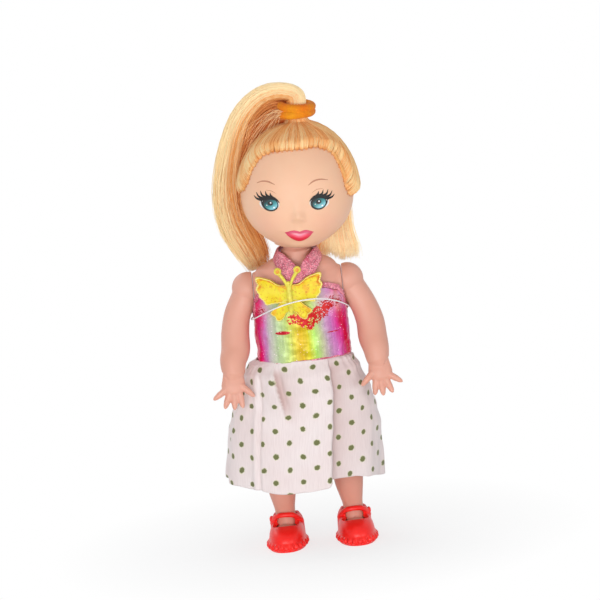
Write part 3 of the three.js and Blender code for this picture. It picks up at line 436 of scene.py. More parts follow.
def makeTorso():  # stacked ovals, shoulders and neck grown together, then cut in two at y = 0
    z, turn = np.meshgrid(np.linspace(34, 75, 70), circle(120), indexing="ij")
    rings = torsoPoint(turn, z)
    limit = torso["shoulderFlat"]
    rings[..., 0] = np.where(z > 56, np.clip(rings[..., 0], -limit, limit), rings[..., 0])
    neck = through(torso["neck"], 30)
    parts = [ringsGrid(rings), tubeGrid(neck[:, :3], neck[:, 3], 48), roundGrid((0.6, 0, 71.6), (9.8, 4.9, 3.9))]
    cuts = []
    for side in (1, -1):
        parts.append(pegBlock(side, 8.0, 11.42, 3.8, torso["shoulderZ"]))
        cuts.append(pegBlock(side, *torso["hipX"], torso["hipReach"], torso["hipZ"]))
        low, high = sorted(side * x for x in torso["hipX"])
        cuts.append(blockGrid((low, -14, 29), (high, 0, 47)))
        cuts.append(blockGrid((low, -0.5, 29), (high, 14, 43.5)))
    whole = fused("torsoSkin", parts, torso["voxel"], 6, cuts)
    for name, outwards, node in (("torsoFront", 1, "torso_front"), ("torsoBack", -1, "torso_back")):
        half = bpy.data.objects.new(name, whole.data.copy())
        bpy.context.scene.collection.objects.link(half)
        work = bmesh.new()
        work.from_mesh(half.data)
        everything = work.verts[:] + work.edges[:] + work.faces[:]
        cut = bmesh.ops.bisect_plane(
            work, geom=everything, plane_co=(0, -outwards * torso["seam"], 0), plane_no=(0, outwards, 0),
            clear_outer=True)
        bmesh.ops.holes_fill(work, edges=[e for e in cut["geom_cut"] if isinstance(e, bmesh.types.BMEdge)])
        work.to_mesh(half.data)
        work.free()
        give(half, bodySkin, "torso", node, slot="skin")
    bpy.data.objects.remove(whole)


arm = dict(  # out from the flat of the shoulder, back, down from its middle and radius; then the hand
    voxel=0.15, wrist=20.6, tuck={-1: 0.5, 1: 0.1}, ball=4.1,
    upper=[(1.4, 0, 0, 3.4), (2.3, -0.2, 2.2, 3.45), (4.6, -0.9, 6.5, 3.4)],
    elbow=[(6.1, -2.0, 11, 3.6), (6.4, -3.3, 15, 3.7)],
    cuff=[(6.8, -5.0, 3, 3.4), (7.0, -6.2, 0.35, 2.95), (7.05, -6.3, 0, 2.65)],  # up from the wrist, not down
    palm=[(0, 0.3, 1.9, 2.5), (0.05, 0, 0, 2.85), (0.15, -0.4, -1.6, 3.1), (0.15, -0.8, -2.9, 2.7),
        (0.15, -0.9, -3.6, 1.9)],
    fingers=[  # where it leaves the palm, its tip and its thickness
        ((20.6, -7.9, 43.6), (24.3, -8.6, 41.2), 0.88), ((19.9, -8.0, 42.6), (21.6, -9.0, 38.7), 0.92),
        ((18.8, -8.0, 42.4), (19.1, -9.2, 38.2), 0.95), ((17.6, -8.0, 42.6), (16.9, -9.1, 38.5), 0.92),
        ((16.9, -7.9, 44.2), (13.7, -9.0, 41.2), 0.88),
    ],
    fingertip=[(0, 1.0), (0.5, 0.95), (0.8, 0.74), (0.95, 0.46), (1, 0.2)],
)


def makeArm(side, name, node):  # tubes through the stations of arm, palm and fingers, grown together
    face, shoulder, tuck = torso["shoulderFlat"] + 0.3, torso["shoulderZ"], arm["tuck"][side]
    wrist = shoulder - arm["wrist"]
    stations = [(face + x, y, shoulder - down, r) for x, y, down, r in arm["upper"]]
    stations += [(face + x - tuck, y, shoulder - down, r) for x, y, down, r in arm["elbow"]]
    stations += [(face + x, y, wrist + up, r) for x, y, up, r in arm["cuff"]]
    line = through([(side * x, y, z, r) for x, y, z, r in stations], 60)
    parts = [tubeGrid(line[:, :3], line[:, 3], 40), roundGrid((side * (face + 1.3), 0, shoulder), (arm["ball"],) * 3)]
    palm = through(np.array(arm["palm"]) * (side, 1, 1, 1), 30)
    root = np.array([side * (face + 7.2), -6.9, wrist - 1.6])
    parts.append(tubeGrid(palm[:, :3] + root, palm[:, 3], 36, flat=0.56))
    for start, end, thick in arm["fingers"]:
        start, end = np.array(start) * (side, 1, 1), np.array(end) * (side, 1, 1)
        finger = through([start, start + (end - start) * 0.5 + (0, 0.1, 0), end], 16)
        parts.append(tubeGrid(finger, thick * along(arm["fingertip"], np.linspace(0, 1, 16)), 18, flat=0.95))
    low, high = sorted((side * face, side * (face - 9)))
    made = fused(name, parts, arm["voxel"], 3, [blockGrid((low, -12, shoulder - 14), (high, 12, shoulder + 9))])
    give(made, bodySkin, node, node, slot="skin")


leg = dict(
    voxel=0.22, shift=(0.5, 17, 7),  # the legs lean a little to the doll's right: by how much, at which height, over how much
    stations=[
        (7.9, 0, 41, 5.35), (8.05, 0, 35, 5.15), (8.3, 0, 29, 4.75), (8.45, -0.1, 24, 4.3), (8.55, 0.1, 19, 3.85),
        (8.65, 0.3, 15, 3.7), (8.72, 0.5, 11.5, 3.05), (8.75, 0.6, 9, 2.6), (8.75, 0.6, 6, 2.6), (8.75, 0.4, 3.4, 2.6),
    ],
)


def makeLeg(side, name, node):  # tube through the leg's stations, with its pegs and a foot like the shoe's dome
    line = through(leg["stations"], 70)
    much, at, over = leg["shift"]
    line[:, 0] = line[:, 0] * side - much * bell(line[:, 2], 0, at, 0, over, 1)
    parts = [
        tubeGrid(line[:, :3], line[:, 3], 44), pegBlock(side, 3.6, 11.2, 5.4, torso["hipZ"]),
        pegBlock(side, 2.1, 4.0, 1.7, torso["hipZ"]),
        placed(ringsGrid(shoeDome(-1.45, 5.4, 1.6)), side), placed(roundGrid((0, -4.4, 4.9), (2.3, 2.1, 1.15)), side),
    ]
    give(fused(name, parts, leg["voxel"], 4), legSkin, node, node, slot="skin")


shoe = dict(
    length=17.5, halfWidth=4.9, heelY=6.4, height=6.6, strapZ=9.2, backZ=7.3, ankleX=8.75, toeOut=4.0, scallops=24,
    voxel=0.12,
    welt=[  # height, growth of the outline and how far the scallops stand out
        (0, -0.25, 0), (0.12, -0.05, 0), (0.45, 0, 0.03), (0.6, 0.05, 0.4), (0.9, 0.1, 0.56), (1.4, 0.06, 0.56),
        (1.8, -0.04, 0.36), (2.1, -0.1, 0.1), (2.3, -0.25, 0), (2.3, -0.9, 0),
    ],
    quarter=[(0, 1.6, 1.5, 4.5), (0, 1.6, 5.0, 4.35), (0, 1.5, 6.2, 4.1), (0, 1.3, 7.0, 3.65), (0, 1.2, 7.7, 3.35)],
    bar=[(1.5, -2.5, 8.0), (2.5, -1.7, 7.55), (3.2, -0.6, 6.9), (3.75, 0.4, 6.1), (4.0, 1.2, 5.4)],
    barTop=(0, -2.75, 8.1),
)
shoePlastic = mottled(
    "Shoe plastic", 0.34, 260, 3, [(0.3, (0.95, 0.10, 0.08)), (0.7, (1.0, 0.16, 0.13))], (700, 2, 0.15, 0.00008),
    Specular_IOR_Level=0.35)


def soleOutline(turn, grow, z):  # superellipse with powers 0.86 and 0.92, narrower towards the heel
    length = shoe["length"] / 2 + grow
    lift = np.sin(turn)
    x = bulge(np.cos(turn), 0.86) * (shoe["halfWidth"] + grow) * (1 - 0.09 * np.maximum(0, lift))
    return pointGrid(x, shoe["heelY"] - shoe["length"] / 2 + bulge(lift, 0.92) * length, z)


def shoeDome(grow, top, low, sides=72, steps=22):  # the outline shrinks by cos^0.55 as it rises by sin
    outline = soleOutline(circle(sides), grow, low)
    middle = shoe["heelY"] - shoe["length"] / 2 + 2.2
    rings = [outline]
    for rise in np.linspace(0, math.pi / 2 * 0.985, steps):
        shrink = math.cos(rise) ** 0.55
        ring = outline.copy()
        ring[:, 0] *= shrink
        ring[:, 1] = middle + (ring[:, 1] - middle) * shrink + (1 - shrink) * 2.0
        ring[:, 2] = 2.0 + math.sin(rise) * (top - 2.0)
        rings.append(ring)
    return np.stack(rings)


def placed(part, side):  # from the shoe's own frame to its place, toes turned out
    points = np.asarray(part[0])
    x, y = turned(points[:, 0], points[:, 1], side * math.radians(shoe["toeOut"]))
    return pointGrid(x + side * shoe["ankleX"], y, points[:, 2]), part[1]


def upright(radius, low, high, y):  # cylinder along Z
    turn = circle(48)
    return ringsGrid(np.stack([pointGrid(radius * np.cos(turn), y + radius * np.sin(turn), z) for z in (low, high)]))


def makeShoe(side, name, node, body):  # stacked outlines, waved by a cosine for the scallops, under a hollow dome
    turn = circle(264)
    wave = 0.5 + 0.5 * np.cos(turn * shoe["scallops"])
    rings = [soleOutline(turn, grow + lift * wave ** 0.7, z) for z, grow, lift in shoe["welt"]]
    quarter = through(shoe["quarter"], 30)
    bar = through([(-x, y, z) for x, y, z in shoe["bar"][::-1]] + [shoe["barTop"]] + shoe["bar"], 60)
    outwards = unit((bar - (0, 1.2, 0)) * (1, 1, 0) + (0, 0, 1.2))
    parts = [
        ringsGrid(np.stack(rings)), ringsGrid(shoeDome(-0.2, shoe["height"], 1.6)),
        tubeGrid(quarter[:, :3], quarter[:, 3], 48),
        tubeGrid(bar, np.full(60, 0.70), 20, outwards, 0.68), roundGrid((side * 3.9, 0.5, 6.6), (0.55, 0.9, 0.9)),
    ]
    above, faces = blockGrid((-14, -14, 0), (14, 14, 15))  # all that is over the sloping top edge
    slope = math.atan2(shoe["strapZ"] - shoe["backZ"], shoe["heelY"])
    above[:, 1], above[:, 2] = turned(above[:, 1].copy(), above[:, 2].copy(), -slope)
    cuts = [
        (above + (0, -1.6, shoe["strapZ"]), faces), ringsGrid(shoeDome(-1.15, shoe["height"] - 0.9, 1.3)),
        upright(2.85, 1.3, 13, 0.6), roundGrid((-0.2, -3.5, 6.2), (3.7, 3.0, 1.4)),
    ]
    made = fused(name, [placed(part, side) for part in parts], shoe["voxel"], 3, [placed(cut, side) for cut in cuts])
    give(made, shoePlastic, body, node, slot="shoe")


makeTorso()
for side, half in ((1, "left"), (-1, "right")):
    makeArm(side, f"{half}Arm", f"{half}_arm")
    makeLeg(side, f"{half}Leg", f"{half}_leg")
    makeShoe(side, f"{half}Shoe", f"{half}_shoe", f"{half}_leg")
print("torso, arms, legs and shoes done")


# Head and painted face. Places on the face are (x, z) in the head's own upright frame.

skull = dict(
    x=1.0, z=78.41, tilt=5.0, wide=14.4, front=13.4, back=12.0, chin=13.2, crown=17.5, level=12.5, wall=1.3,
    faceShift=0.3,  # how far the painted face sits towards the doll's right
    relief=[  # height, x, z, half width, half height
        (1.35, 0.35, 8.9, 1.45, 1.35), (0.4, 0.1, 11.4, 1.3, 2.4), (0.3, -0.75, 8.1, 0.7, 0.6),
        (0.3, 1.5, 8.1, 0.7, 0.6),
        (-0.28, -6.6, 12.4, 2.8, 2.0), (-0.28, 5.6, 12.6, 2.8, 2.0), (0.55, -7.2, 6.6, 4.2, 3.8),
        (0.55, 7.6, 6.6, 4.2, 3.8),
        (0.55, 0.6, 3.9, 4.0, 2.4), (0.26, 0.6, 4.75, 2.9, 0.45), (0.4, 0.65, 3.3, 2.3, 0.62),
        (-0.28, 0.6, 4.18, 3.1, 0.2),
        (-0.12, 0.5, 6.2, 0.5, 0.8), (0.8, 0.6, 0.9, 3.2, 1.5),
    ],
    neckHole=[(5.0, -0.6), (3.9, -0.55), (3.8, 0), (3.9, 0.55), (5.6, 0.6)],  # radius, height
    blush=[(-6.2, 85.8, 4.2, 3.4), (9.2, 84.9, 4.2, 3.4)],
)


def onDoll(points):  # from the head's own frame to the doll's: turned by the tilt, then shifted
    x, z = turned(points[..., 0], points[..., 2], -math.radians(skull["tilt"]))
    return pointGrid(x + skull["x"], points[..., 1], z + skull["z"])


def faceRelief(x, z):  # sum of bells: how far the face stands out from the plain skull
    return sum(high * bell(x + skull["faceShift"], z, *spot) for high, *spot in skull["relief"])


def jawDrop(x, z):  # the chin hangs a little lower than the skull
    return 0.75 * np.exp(-(((x - 0.5) / 6.0) ** 2)) * smooth((4.2 - z) / 3.4)


def skullPoint(turn, tilt, grow=0.0):  # ellipsoid with its own half height and depth each way; turn 0 is ahead
    tilt = np.asarray(tilt, float) + 0 * turn
    rise = np.where(tilt < 0, skull["chin"], skull["crown"]) + grow
    flat = np.maximum(np.cos(tilt), 1e-6) ** 0.96
    deep = np.where(np.cos(turn) > 0, skull["front"], skull["back"]) + grow
    x = np.sin(turn) * (skull["wide"] + grow) * flat
    return pointGrid(x, -np.cos(turn) * deep * flat, skull["level"] + np.sin(tilt) * rise)


def tiltAt(z):  # arc sine of the height over the half height
    rise = np.where(z < skull["level"], skull["chin"], skull["crown"])
    return np.arcsin(np.clip((z - skull["level"]) / rise, -1, 1))


def faceSpot(spots, lift=0.0):  # places on the face, lifted off its skin
    x, z = spots[..., 0] - skull["faceShift"], spots[..., 1]
    flat = np.cos(tiltAt(z)) ** 0.96
    deep = np.sqrt(np.clip(1 - (x / (skull["wide"] * flat)) ** 2, 0, 1)) * skull["front"] * flat
    return onDoll(pointGrid(x, -deep - faceRelief(x, z) - lift, z - jawDrop(x, z)))


def makeHead():  # skull with the relief taken from its front, down to the neck hole and up the inner wall
    turn = np.linspace(-math.pi, math.pi, 260, endpoint=False)
    outer = skullPoint(turn[None, :], np.linspace(math.radians(-66), math.pi / 2, 150)[:, None])
    front = smooth((np.cos(turn) + 0.05) / 0.35)
    outer[..., 1] -= faceRelief(outer[..., 0], outer[..., 2]) * front
    outer[..., 2] -= jawDrop(outer[..., 0], outer[..., 2]) * front
    inner = skullPoint(turn[None, :], np.linspace(math.radians(-60), math.pi / 2, 30)[:, None], -skull["wall"])
    ring = lambda radius, z: pointGrid(radius * np.sin(turn), -radius * np.cos(turn), z)[None]
    under = 0.55 * outer[:1] + 0.45 * ring(5.6, -0.62)
    under[..., 2] = -0.25
    rings = np.concatenate([outer[::-1], under, *[ring(*hole) for hole in skull["neckHole"]], inner])
    head = turnOutwards(makeMesh("headSkin", onDoll(rings.reshape(-1, 3)), [gridFaces(len(rings), len(turn), True)]))
    paint = skinMaterial("Skin, face", (0.942, 0.758, 0.625), (0.928, 0.728, 0.597))
    plain = Wire(paint.tree, paint.shader.inputs["Base Color"].links[0].from_socket)
    blush = spread(paint.where().parts(), skull["blush"], 1.0).math("MULTIPLY", 0.2, clamp=True)
    paint.colour(plain.mixed(blush, (0.93, 0.62, 0.56)))
    give(head, paint, "head", "head", slot="face_vinyl")


def patch(spots, lift, name, paint, uv, joinColumns=False):  # thin coat of paint on the face
    coat = sheetPiece(name, faceSpot(spots, lift), faceSpot(spots, -0.05), joinColumns, uv)
    give(coat, paint, "head", slot="face_vinyl")


def strokes(name, lines, lift, paint):  # painted lines: each path (x, z, width) widened to both sides
    parts = []
    for line in lines:
        path = through(line, 26)
        run = unit(np.gradient(path[:, :2], axis=0))
        side = np.stack([-run[:, 1], run[:, 0]], axis=1)
        spots = path[:, None, :2] + side[:, None] * path[:, None, 2:] * np.linspace(-0.5, 0.5, 5)[None, :, None]
        points = np.concatenate([faceSpot(spots, high).reshape(-1, 3) for high in (lift, -0.05)])
        parts.append((points, sheetFaces(26, 5, False)))
    give(joined(name, parts), paint, "head", slot="face_vinyl")


def disc(middle, half, rings=26, columns=72):  # round patch, with its own -1 to 1 coordinates
    out, turn = np.meshgrid(np.linspace(0, 1, rings), circle(columns), indexing="ij")
    local = pointGrid(out * np.cos(turn), out * np.sin(turn))
    return local * np.array(half) + np.array(middle), local


face = dict(
    eyes=[("right", -6.72, 11.95, -1), ("left", 5.55, 12.35, 1)],
    glints=[(0.1, 0.35, 0.2), (-0.85, -0.35, 0.12), (0.95, -0.8, 0.2)],
    # outwards from the eye's middle, up from it, and width
    lid=[(-2.3, 0.45, 0.14), (-1.75, 1.1, 0.42), (-0.7, 1.6, 0.85), (0.7, 1.65, 1.0), (1.85, 1.15, 0.85),
        (2.7, 0.7, 0.2)],
    under=[(-1.7, -1.15, 0.1), (0, -1.65, 0.2), (1.4, -1.2, 0.2), (2.1, -0.2, 0.24), (2.2, 0.7, 0.34)],
    lashes=[  # root, tip and bend
        ((2.3, 0.9), (4.1, 1.8), 0.2), ((1.9, 1.3), (3.5, 2.75), 0.25), ((1.2, 1.65), (2.45, 3.2), 0.25),
        ((0.4, 1.85), (1.2, 3.25), 0.18), ((-0.45, 1.85), (0.0, 2.95), 0.1),
    ],
    brows={
        "rightBrow": [(-10.0, 17.0, 0.14), (-8.6, 17.6, 0.3), (-7.1, 17.6, 0.38), (-5.55, 17.0, 0.14)],
        "leftBrow": [(2.95, 16.9, 0.14), (4.3, 17.85, 0.38), (6.0, 18.2, 0.34), (8.0, 17.9, 0.12)],
        "leftLidCrease": [(3.9, 15.05, 0.04), (5.2, 15.75, 0.14), (6.8, 15.9, 0.05)],
        "rightLidCrease": [(-5.2, 14.75, 0.04), (-6.4, 15.35, 0.12), (-7.8, 15.45, 0.05)],
    },
    lipTop=[(-3.15, 4.42), (-1.1, 5.12), (0.1, 5.02), (0.72, 4.84), (1.35, 5.04), (2.5, 5.2), (4.3, 4.56)],
    lipLow=[(-3.15, 4.42), (-1.7, 3.1), (0.72, 2.35), (3.0, 3.1), (4.3, 4.56)],
    lipColours=[
        (0.0, (0.84, 0.10, 0.20)), (0.28, (0.93, 0.17, 0.29)), (0.46, (0.93, 0.42, 0.52)), (0.62, (0.95, 0.60, 0.68)),
        (0.74, (0.90, 0.38, 0.50)), (1.0, (0.85, 0.25, 0.38)),
    ],
    irisColours=[(0.0, (0.03, 0.12, 0.14)), (0.26, (0.12, 0.42, 0.43)), (0.55, (0.26, 0.62, 0.64)),
        (0.9, (0.62, 0.89, 0.94))],
)


def irisMaterial():  # blue green, lighter towards the lower side, with a fan of streaks, a dark rim and a pupil
    paint = Paint("Eye paint", 0.16, Coat_Weight=0.5, Coat_Roughness=0.05)
    u, v = paint.uv().parts()[:2]
    reach = (u * u + v * v).math("SQRT")
    iris = (u * 0.42 - v * 0.5 + 0.42).ramp(face["irisColours"])
    fan = add(paint.tree, "CombineXYZ", {0: v.math("ARCTAN2", u), 1: reach}).noise(9, 2)
    iris = iris.mixed(0.35, fan.ramp([(0.3, (0.15, 0.35, 0.4)), (0.7, (0.9, 1.0, 1.0))]), "MULTIPLY")
    rim = (reach + (u + v) * -0.06).ramp([(0.0, 0), (0.76, 0), (0.86, 1)])
    high = v - 0.15
    pupil = (u * u + high * high).math("SQRT").ramp([(0.0, 1), (0.29, 1), (0.36, 0)])
    dark = (0.015, 0.02, 0.03)
    paint.colour(iris.mixed(rim, dark).mixed(pupil, dark))
    return paint


def makeFace():  # round patches for the eyes, strokes for lashes and brows, lips between two curves
    white = plainPaint("Eye white paint", (0.93, 0.93, 0.93))
    black = plainPaint("Lash paint", (0.035, 0.03, 0.035), 0.35)
    brown = plainPaint("Brow paint", (0.80, 0.54, 0.42), 0.5)
    glint = plainPaint("Eye glint paint", (1.0, 1.0, 1.0), 0.3)
    iris = irisMaterial()
    for name, x, z, side in face["eyes"]:
        spots, uv = disc((x + 0.2 * side, z - 0.02), (2.5, 1.55))
        patch(spots, 0.02, f"{name}EyeWhite", white, uv, True)
        spots, uv = disc((x, z - 0.08), (2.08, 1.74))
        patch(spots, 0.05, f"{name}EyeIris", iris, uv, True)
        for n, (dx, dz, size) in enumerate(face["glints"]):
            spots, uv = disc((x + dx, z + dz), (size, size), 6, 24)
            patch(spots, 0.075, f"{name}EyeGlint{n}", glint, uv, True)
        lines = [face["lid"], face["under"]]
        for root, tip, lean in face["lashes"]:
            bend = (np.array(root) + np.array(tip)) / 2 + (lean, -lean)
            lines.append([(*root, 0.7), (*bend, 0.46), (*tip, 0.08)])
        lashes = [[(x + out * side, z + up, width) for out, up, width in line] for line in lines]
        strokes(f"{name}EyeLashes", lashes, 0.085, black)
    for name, line in face["brows"].items():
        strokes(name, [line], 0.03, brown)

    lips = Paint("Lip paint", 0.28, Coat_Weight=0.3, Coat_Roughness=0.1)
    u, v = lips.uv().parts()[:2]
    corners = (u - 0.5).math("ABSOLUTE").ramp([(0.0, 0), (0.22, 0), (0.42, 1)])
    lips.colour(v.ramp(face["lipColours"]).mixed(corners, (0.86, 0.26, 0.40)))
    top, low = through(face["lipTop"], 60), through(face["lipLow"], 60)
    share = np.linspace(0, 1, 18)[:, None]
    spots = low[None] * (1 - share[..., None]) + top[None] * share[..., None]
    patch(spots, 0.035, "lips", lips, pointGrid(np.linspace(0, 1, 60)[None, :], share))


makeHead()
makeFace()
print("head and face done")


# Rooted hair. Each strand is a thin tube with a tint of its own.

scalp = dict(
    spacing=1.25, each=42, thick=0.066, count=15, top=78.5, loose=0.28,
    tops=[(2.9, 32.0), (2.6, 33.4)],  # radius and height of the last two points, under the tie
    lineRight=[
        (0, 25.3), (13, 25.1), (34, 24.6), (47, 23.7), (53, 22.6), (58, 20.4), (63, 16.2), (70, 14.2), (82, 13.4),
        (110, 11.5), (180, 6)],
    lineLeft=[
        (0, 25.3), (29, 25.7), (44, 24.9), (53, 23.6), (56, 19.8), (58, 15.4), (63, 13.4), (70, 12.6), (85, 12.4),
        (110, 11.5), (180, 6)],
)
# drawn up hair: painted orange shade at the roots, a painted highlight band a little above the hairline, and a slight
# painted glow
scalpShine = hairMaterial(
    "Hair, drawn up", (0.84, 0.44, 0.16), (0.96, 0.70, 0.42), (1.0, 0.89, 0.68), 0.06,
    [(0.0, 0.25), (0.05, 0.42), (0.13, 0.68), (0.28, 0.51), (0.75, 0.50), (1.0, 0.48)])
# ponytail hair: a little painted shade at the roots by the tie, and a painted glow
hairShine = hairMaterial(
    "Hair, golden blonde", (0.76, 0.33, 0.08), (0.96, 0.705, 0.41), (1.0, 0.915, 0.735), 0.10,
    [(0.0, 0.40), (0.1, 0.5), (1.0, 0.54)])
# hanging hair: roots painted much darker, painted shade where they start under the drawn up hair, lighter towards the
# ends; the strongest painted glow
hairPale = hairMaterial(
    "Hair, hanging, painted shade at the roots", (0.88, 0.46, 0.17), (0.96, 0.71, 0.43), (1.0, 0.93, 0.77), 0.17,
    [(0.0, 0.0), (0.12, 0.12), (0.42, 0.47), (1.0, 0.60)])
# hair underlayer and ponytail core: hair that lies under the strands, given the tone of hair in shade, painted shade on
# sheets that fill the gaps
hairDeep = Paint("Hair underlayer", 0.7, Specular_IOR_Level=0.2)
grain = hairDeep.where().stretched((9000, 9000, 500)).noise(1.0, 2)
hairDeep.colour(grain.ramp([(0.3, (0.86, 0.60, 0.34)), (0.7, (0.93, 0.70, 0.44))]))


def hairline(turn):  # height of the hairline at a turn in radians
    degrees = np.degrees(turn)
    return np.where(degrees < 0, along(scalp["lineRight"], -degrees), along(scalp["lineLeft"], degrees))


def hairPaths(turn, count):  # from the hairline to the tie over the skull, swept back by a sine at the temples
    low = tiltAt(hairline(turn))[:, None] + 0.004
    s = np.linspace(0, 1, count)[None, :] ** 1.5
    tilt = low + (math.radians(scalp["top"]) - low) * s
    sweep = math.radians(17) * np.exp(-((np.abs(np.degrees(turn)) - 60) / 20) ** 2) * np.sign(turn)
    around = turn[:, None] + sweep[:, None] * np.sin(math.pi * s ** 0.75)
    flatter = 1 - 0.42 * smooth((-np.degrees(turn[:, None]) - 25) / 35)
    lift = 1.45 * smooth((skull["wide"] * (tilt - low) + 0.15) / 1.7) * flatter + 0.1
    return skullPoint(around, tilt, lift), s


def makeScalpHair():  # tufts at even steps of the hairline, each a row of strands gathered as they rise
    sweepTurn = np.linspace(-math.pi, math.pi, 1441)
    edge = skullPoint(sweepTurn, tiltAt(hairline(sweepTurn)))
    length = np.concatenate([[0], np.cumsum(np.linalg.norm(np.diff(edge, axis=0), axis=1))])
    plugs = int(length[-1] / scalp["spacing"])
    at = np.interp((np.arange(plugs) + 0.5) / plugs * length[-1], length, sweepTurn)
    draw = np.random.default_rng(3)
    count, each = scalp["count"], scalp["each"]
    share = np.tile((np.arange(each) + 0.5) / each - 0.5, (plugs, 1)) + draw.normal(0, 0.012, (plugs, each))
    middle, s = hairPaths(at, count)
    step = np.minimum(np.gradient(np.unwrap(np.append(at, at[0] + 2 * math.pi)))[:-1], 0.2) * 0.5
    beside, before = [hairPaths(np.clip(at + way * step, -math.pi, math.pi), count)[0] for way in (1, -1)]
    gather = 0.80 + 0.30 * smooth(s / 0.16)
    paths = middle[:, None] + (beside - before)[:, None] * (share[:, :, None] * gather[:, None, :])[..., None]
    outwards = unit(middle - np.array([0, 0, skull["level"] + 1.0]))[:, None]
    tuft = np.sqrt(np.clip(1 - (2 * share) ** 2, 0, 1))[:, :, None] * (1 - 0.75 * smooth((s - 0.05) / 0.45))[:, None, :]
    layer = draw.uniform(0, scalp["loose"], (plugs, each))[:, :, None]
    start = smooth(s / 0.02)[:, None, :]
    paths = paths + outwards * ((0.16 * tuft + layer) * start)[..., None]
    swing, begin = draw.uniform(4, 9, (plugs, each, 1)), draw.uniform(0, 6.28, (plugs, each, 1))
    wander = 0.10 * np.sin(s[:, None, :] * swing + begin)
    paths = paths + unit(beside - before + 1e-9)[:, None] * (wander * start)[..., None]
    inwards = unit(paths[..., -1:, :] * np.array([1, 1, 0]))
    ends = [inwards * r + np.array([0, 0, z]) for r, z in scalp["tops"]]
    paths = np.concatenate([paths] + ends, axis=2).reshape(plugs * each, count + 2, 3)
    # painted highlight: the middle strands of each tuft are lighter
    tint = 0.45 + draw.normal(0, 0.09, (plugs, 1)) + draw.normal(0, 0.19, (plugs, each)) + 0.2 * tuft[:, :, 3]
    reach = np.linspace(0, 1, count + 2)
    thick = scalp["thick"] * (0.75 + 0.25 * smooth(reach / 0.1)) * (1 - 0.25 * reach)
    radii = np.broadcast_to(thick, paths.shape[:2])
    away = onDoll(unit(paths - np.array([0, 0, skull["level"]]))) - onDoll(np.zeros(3))
    points, tint = onDoll(paths), tint.reshape(-1)
    half = len(points) // 2
    for n, part in enumerate((slice(0, half), slice(half, None))):
        piece = strandPiece(f"scalpHair{n}", points[part], radii[part], away[part], tint[part])
        give(piece, scalpShine, "head", "scalp_hair", slot="hair")

    turn = np.linspace(-math.pi, math.pi, 150, endpoint=False)[None, :]
    low = tiltAt(hairline(turn)) + 0.05
    share = np.linspace(0, 1, 26)[:, None]
    tilt = low + (math.radians(88) - low) * share
    outer, inner = [onDoll(skullPoint(turn, tilt, lift)) for lift in (0.12 + 0.6 * smooth(share / 0.12), 0.05)]
    # sheet under the drawn up hair, in the painted shade tone of hairDeep
    give(sheetPiece("scalpUnderlayer", outer, inner, True), hairDeep, "head", "scalp_hair", slot="hair")

    dots = []
    for turn in at[np.abs(np.degrees(at)) < 86]:
        spot = skullPoint(turn, tiltAt(hairline(turn) - 0.12))
        spot = spot - np.array([0, float(faceRelief(spot[0], spot[2])), 0])
        points, faces = roundGrid((0, 0, 0), (0.34, 0.07, 0.27), 7, 12)
        heading = math.atan2(spot[0] / skull["wide"] ** 2, -spot[1] / skull["front"] ** 2)
        x, y = turned(points[:, 0], points[:, 1], heading)
        dots.append((onDoll(pointGrid(x, y, points[:, 2]) + spot), faces))
    give(joined("rootHoles", dots), plainPaint("Root holes", (0.93, 0.62, 0.42), 0.6), "head", slot="hair")


pony = dict(
    thick=0.085,
    line=[  # x, y, z, half width and half depth
        (0, 0, 31.8, 2.4, 2.4), (0, 0, 36.8, 2.5, 2.6), (-0.9, 0.3, 38.3, 2.3, 2.5), (-3.5, 0.8, 38.95, 2.2, 2.6),
        (-7.0, 1.7, 38.5, 2.3, 3.1), (-10.4, 2.9, 36.4, 2.5, 3.7), (-13.6, 4.2, 32.4, 2.7, 4.2),
        (-15.8, 5.4, 26.6, 2.9, 4.6),
        (-17.3, 6.6, 18.6, 3.3, 5.0), (-17.4, 7.6, 11.0, 3.8, 5.1), (-15.7, 8.0, 4.2, 4.2, 4.8),
        (-12.9, 8.1, -1.4, 3.8, 4.0),
        (-10.9, 7.9, -5.0, 3.2, 3.0), (-9.8, 7.6, -8.2, 2.3, 2.0),
    ],
    under=[
        (-2.2, 0.8, 33.4, 2.6, 2.2), (-5.0, 1.7, 33.3, 3.4, 2.4), (-8.0, 2.9, 31.0, 3.4, 2.8),
        (-10.2, 4.0, 27.5, 2.6, 3.0),
        (-12.3, 5.0, 23.0, 2.2, 3.2), (-14.0, 6.2, 17.0, 2.0, 3.4), (-14.8, 7.0, 10.5, 2.0, 3.6),
        (-13.6, 7.6, 3.5, 2.0, 3.4),
    ],
    bundles=[  # name, line, strands, points each, share of the bundle's round that they fill, tint and its fall: painted shade, with darker bundles and strands towards the inside of the arc
        ("ponytailOuter", "line", 1700, 19, (0.55, 1.0), (0.72, 0.42)),
        ("ponytailInner", "line", 900, 16, (0.0, 0.6), (0.46, 0.30)),
        ("ponytailUnder", "under", 1300, 16, (0.0, 1.0), (0.10, 0.10)),
    ],
    strays=26,
)


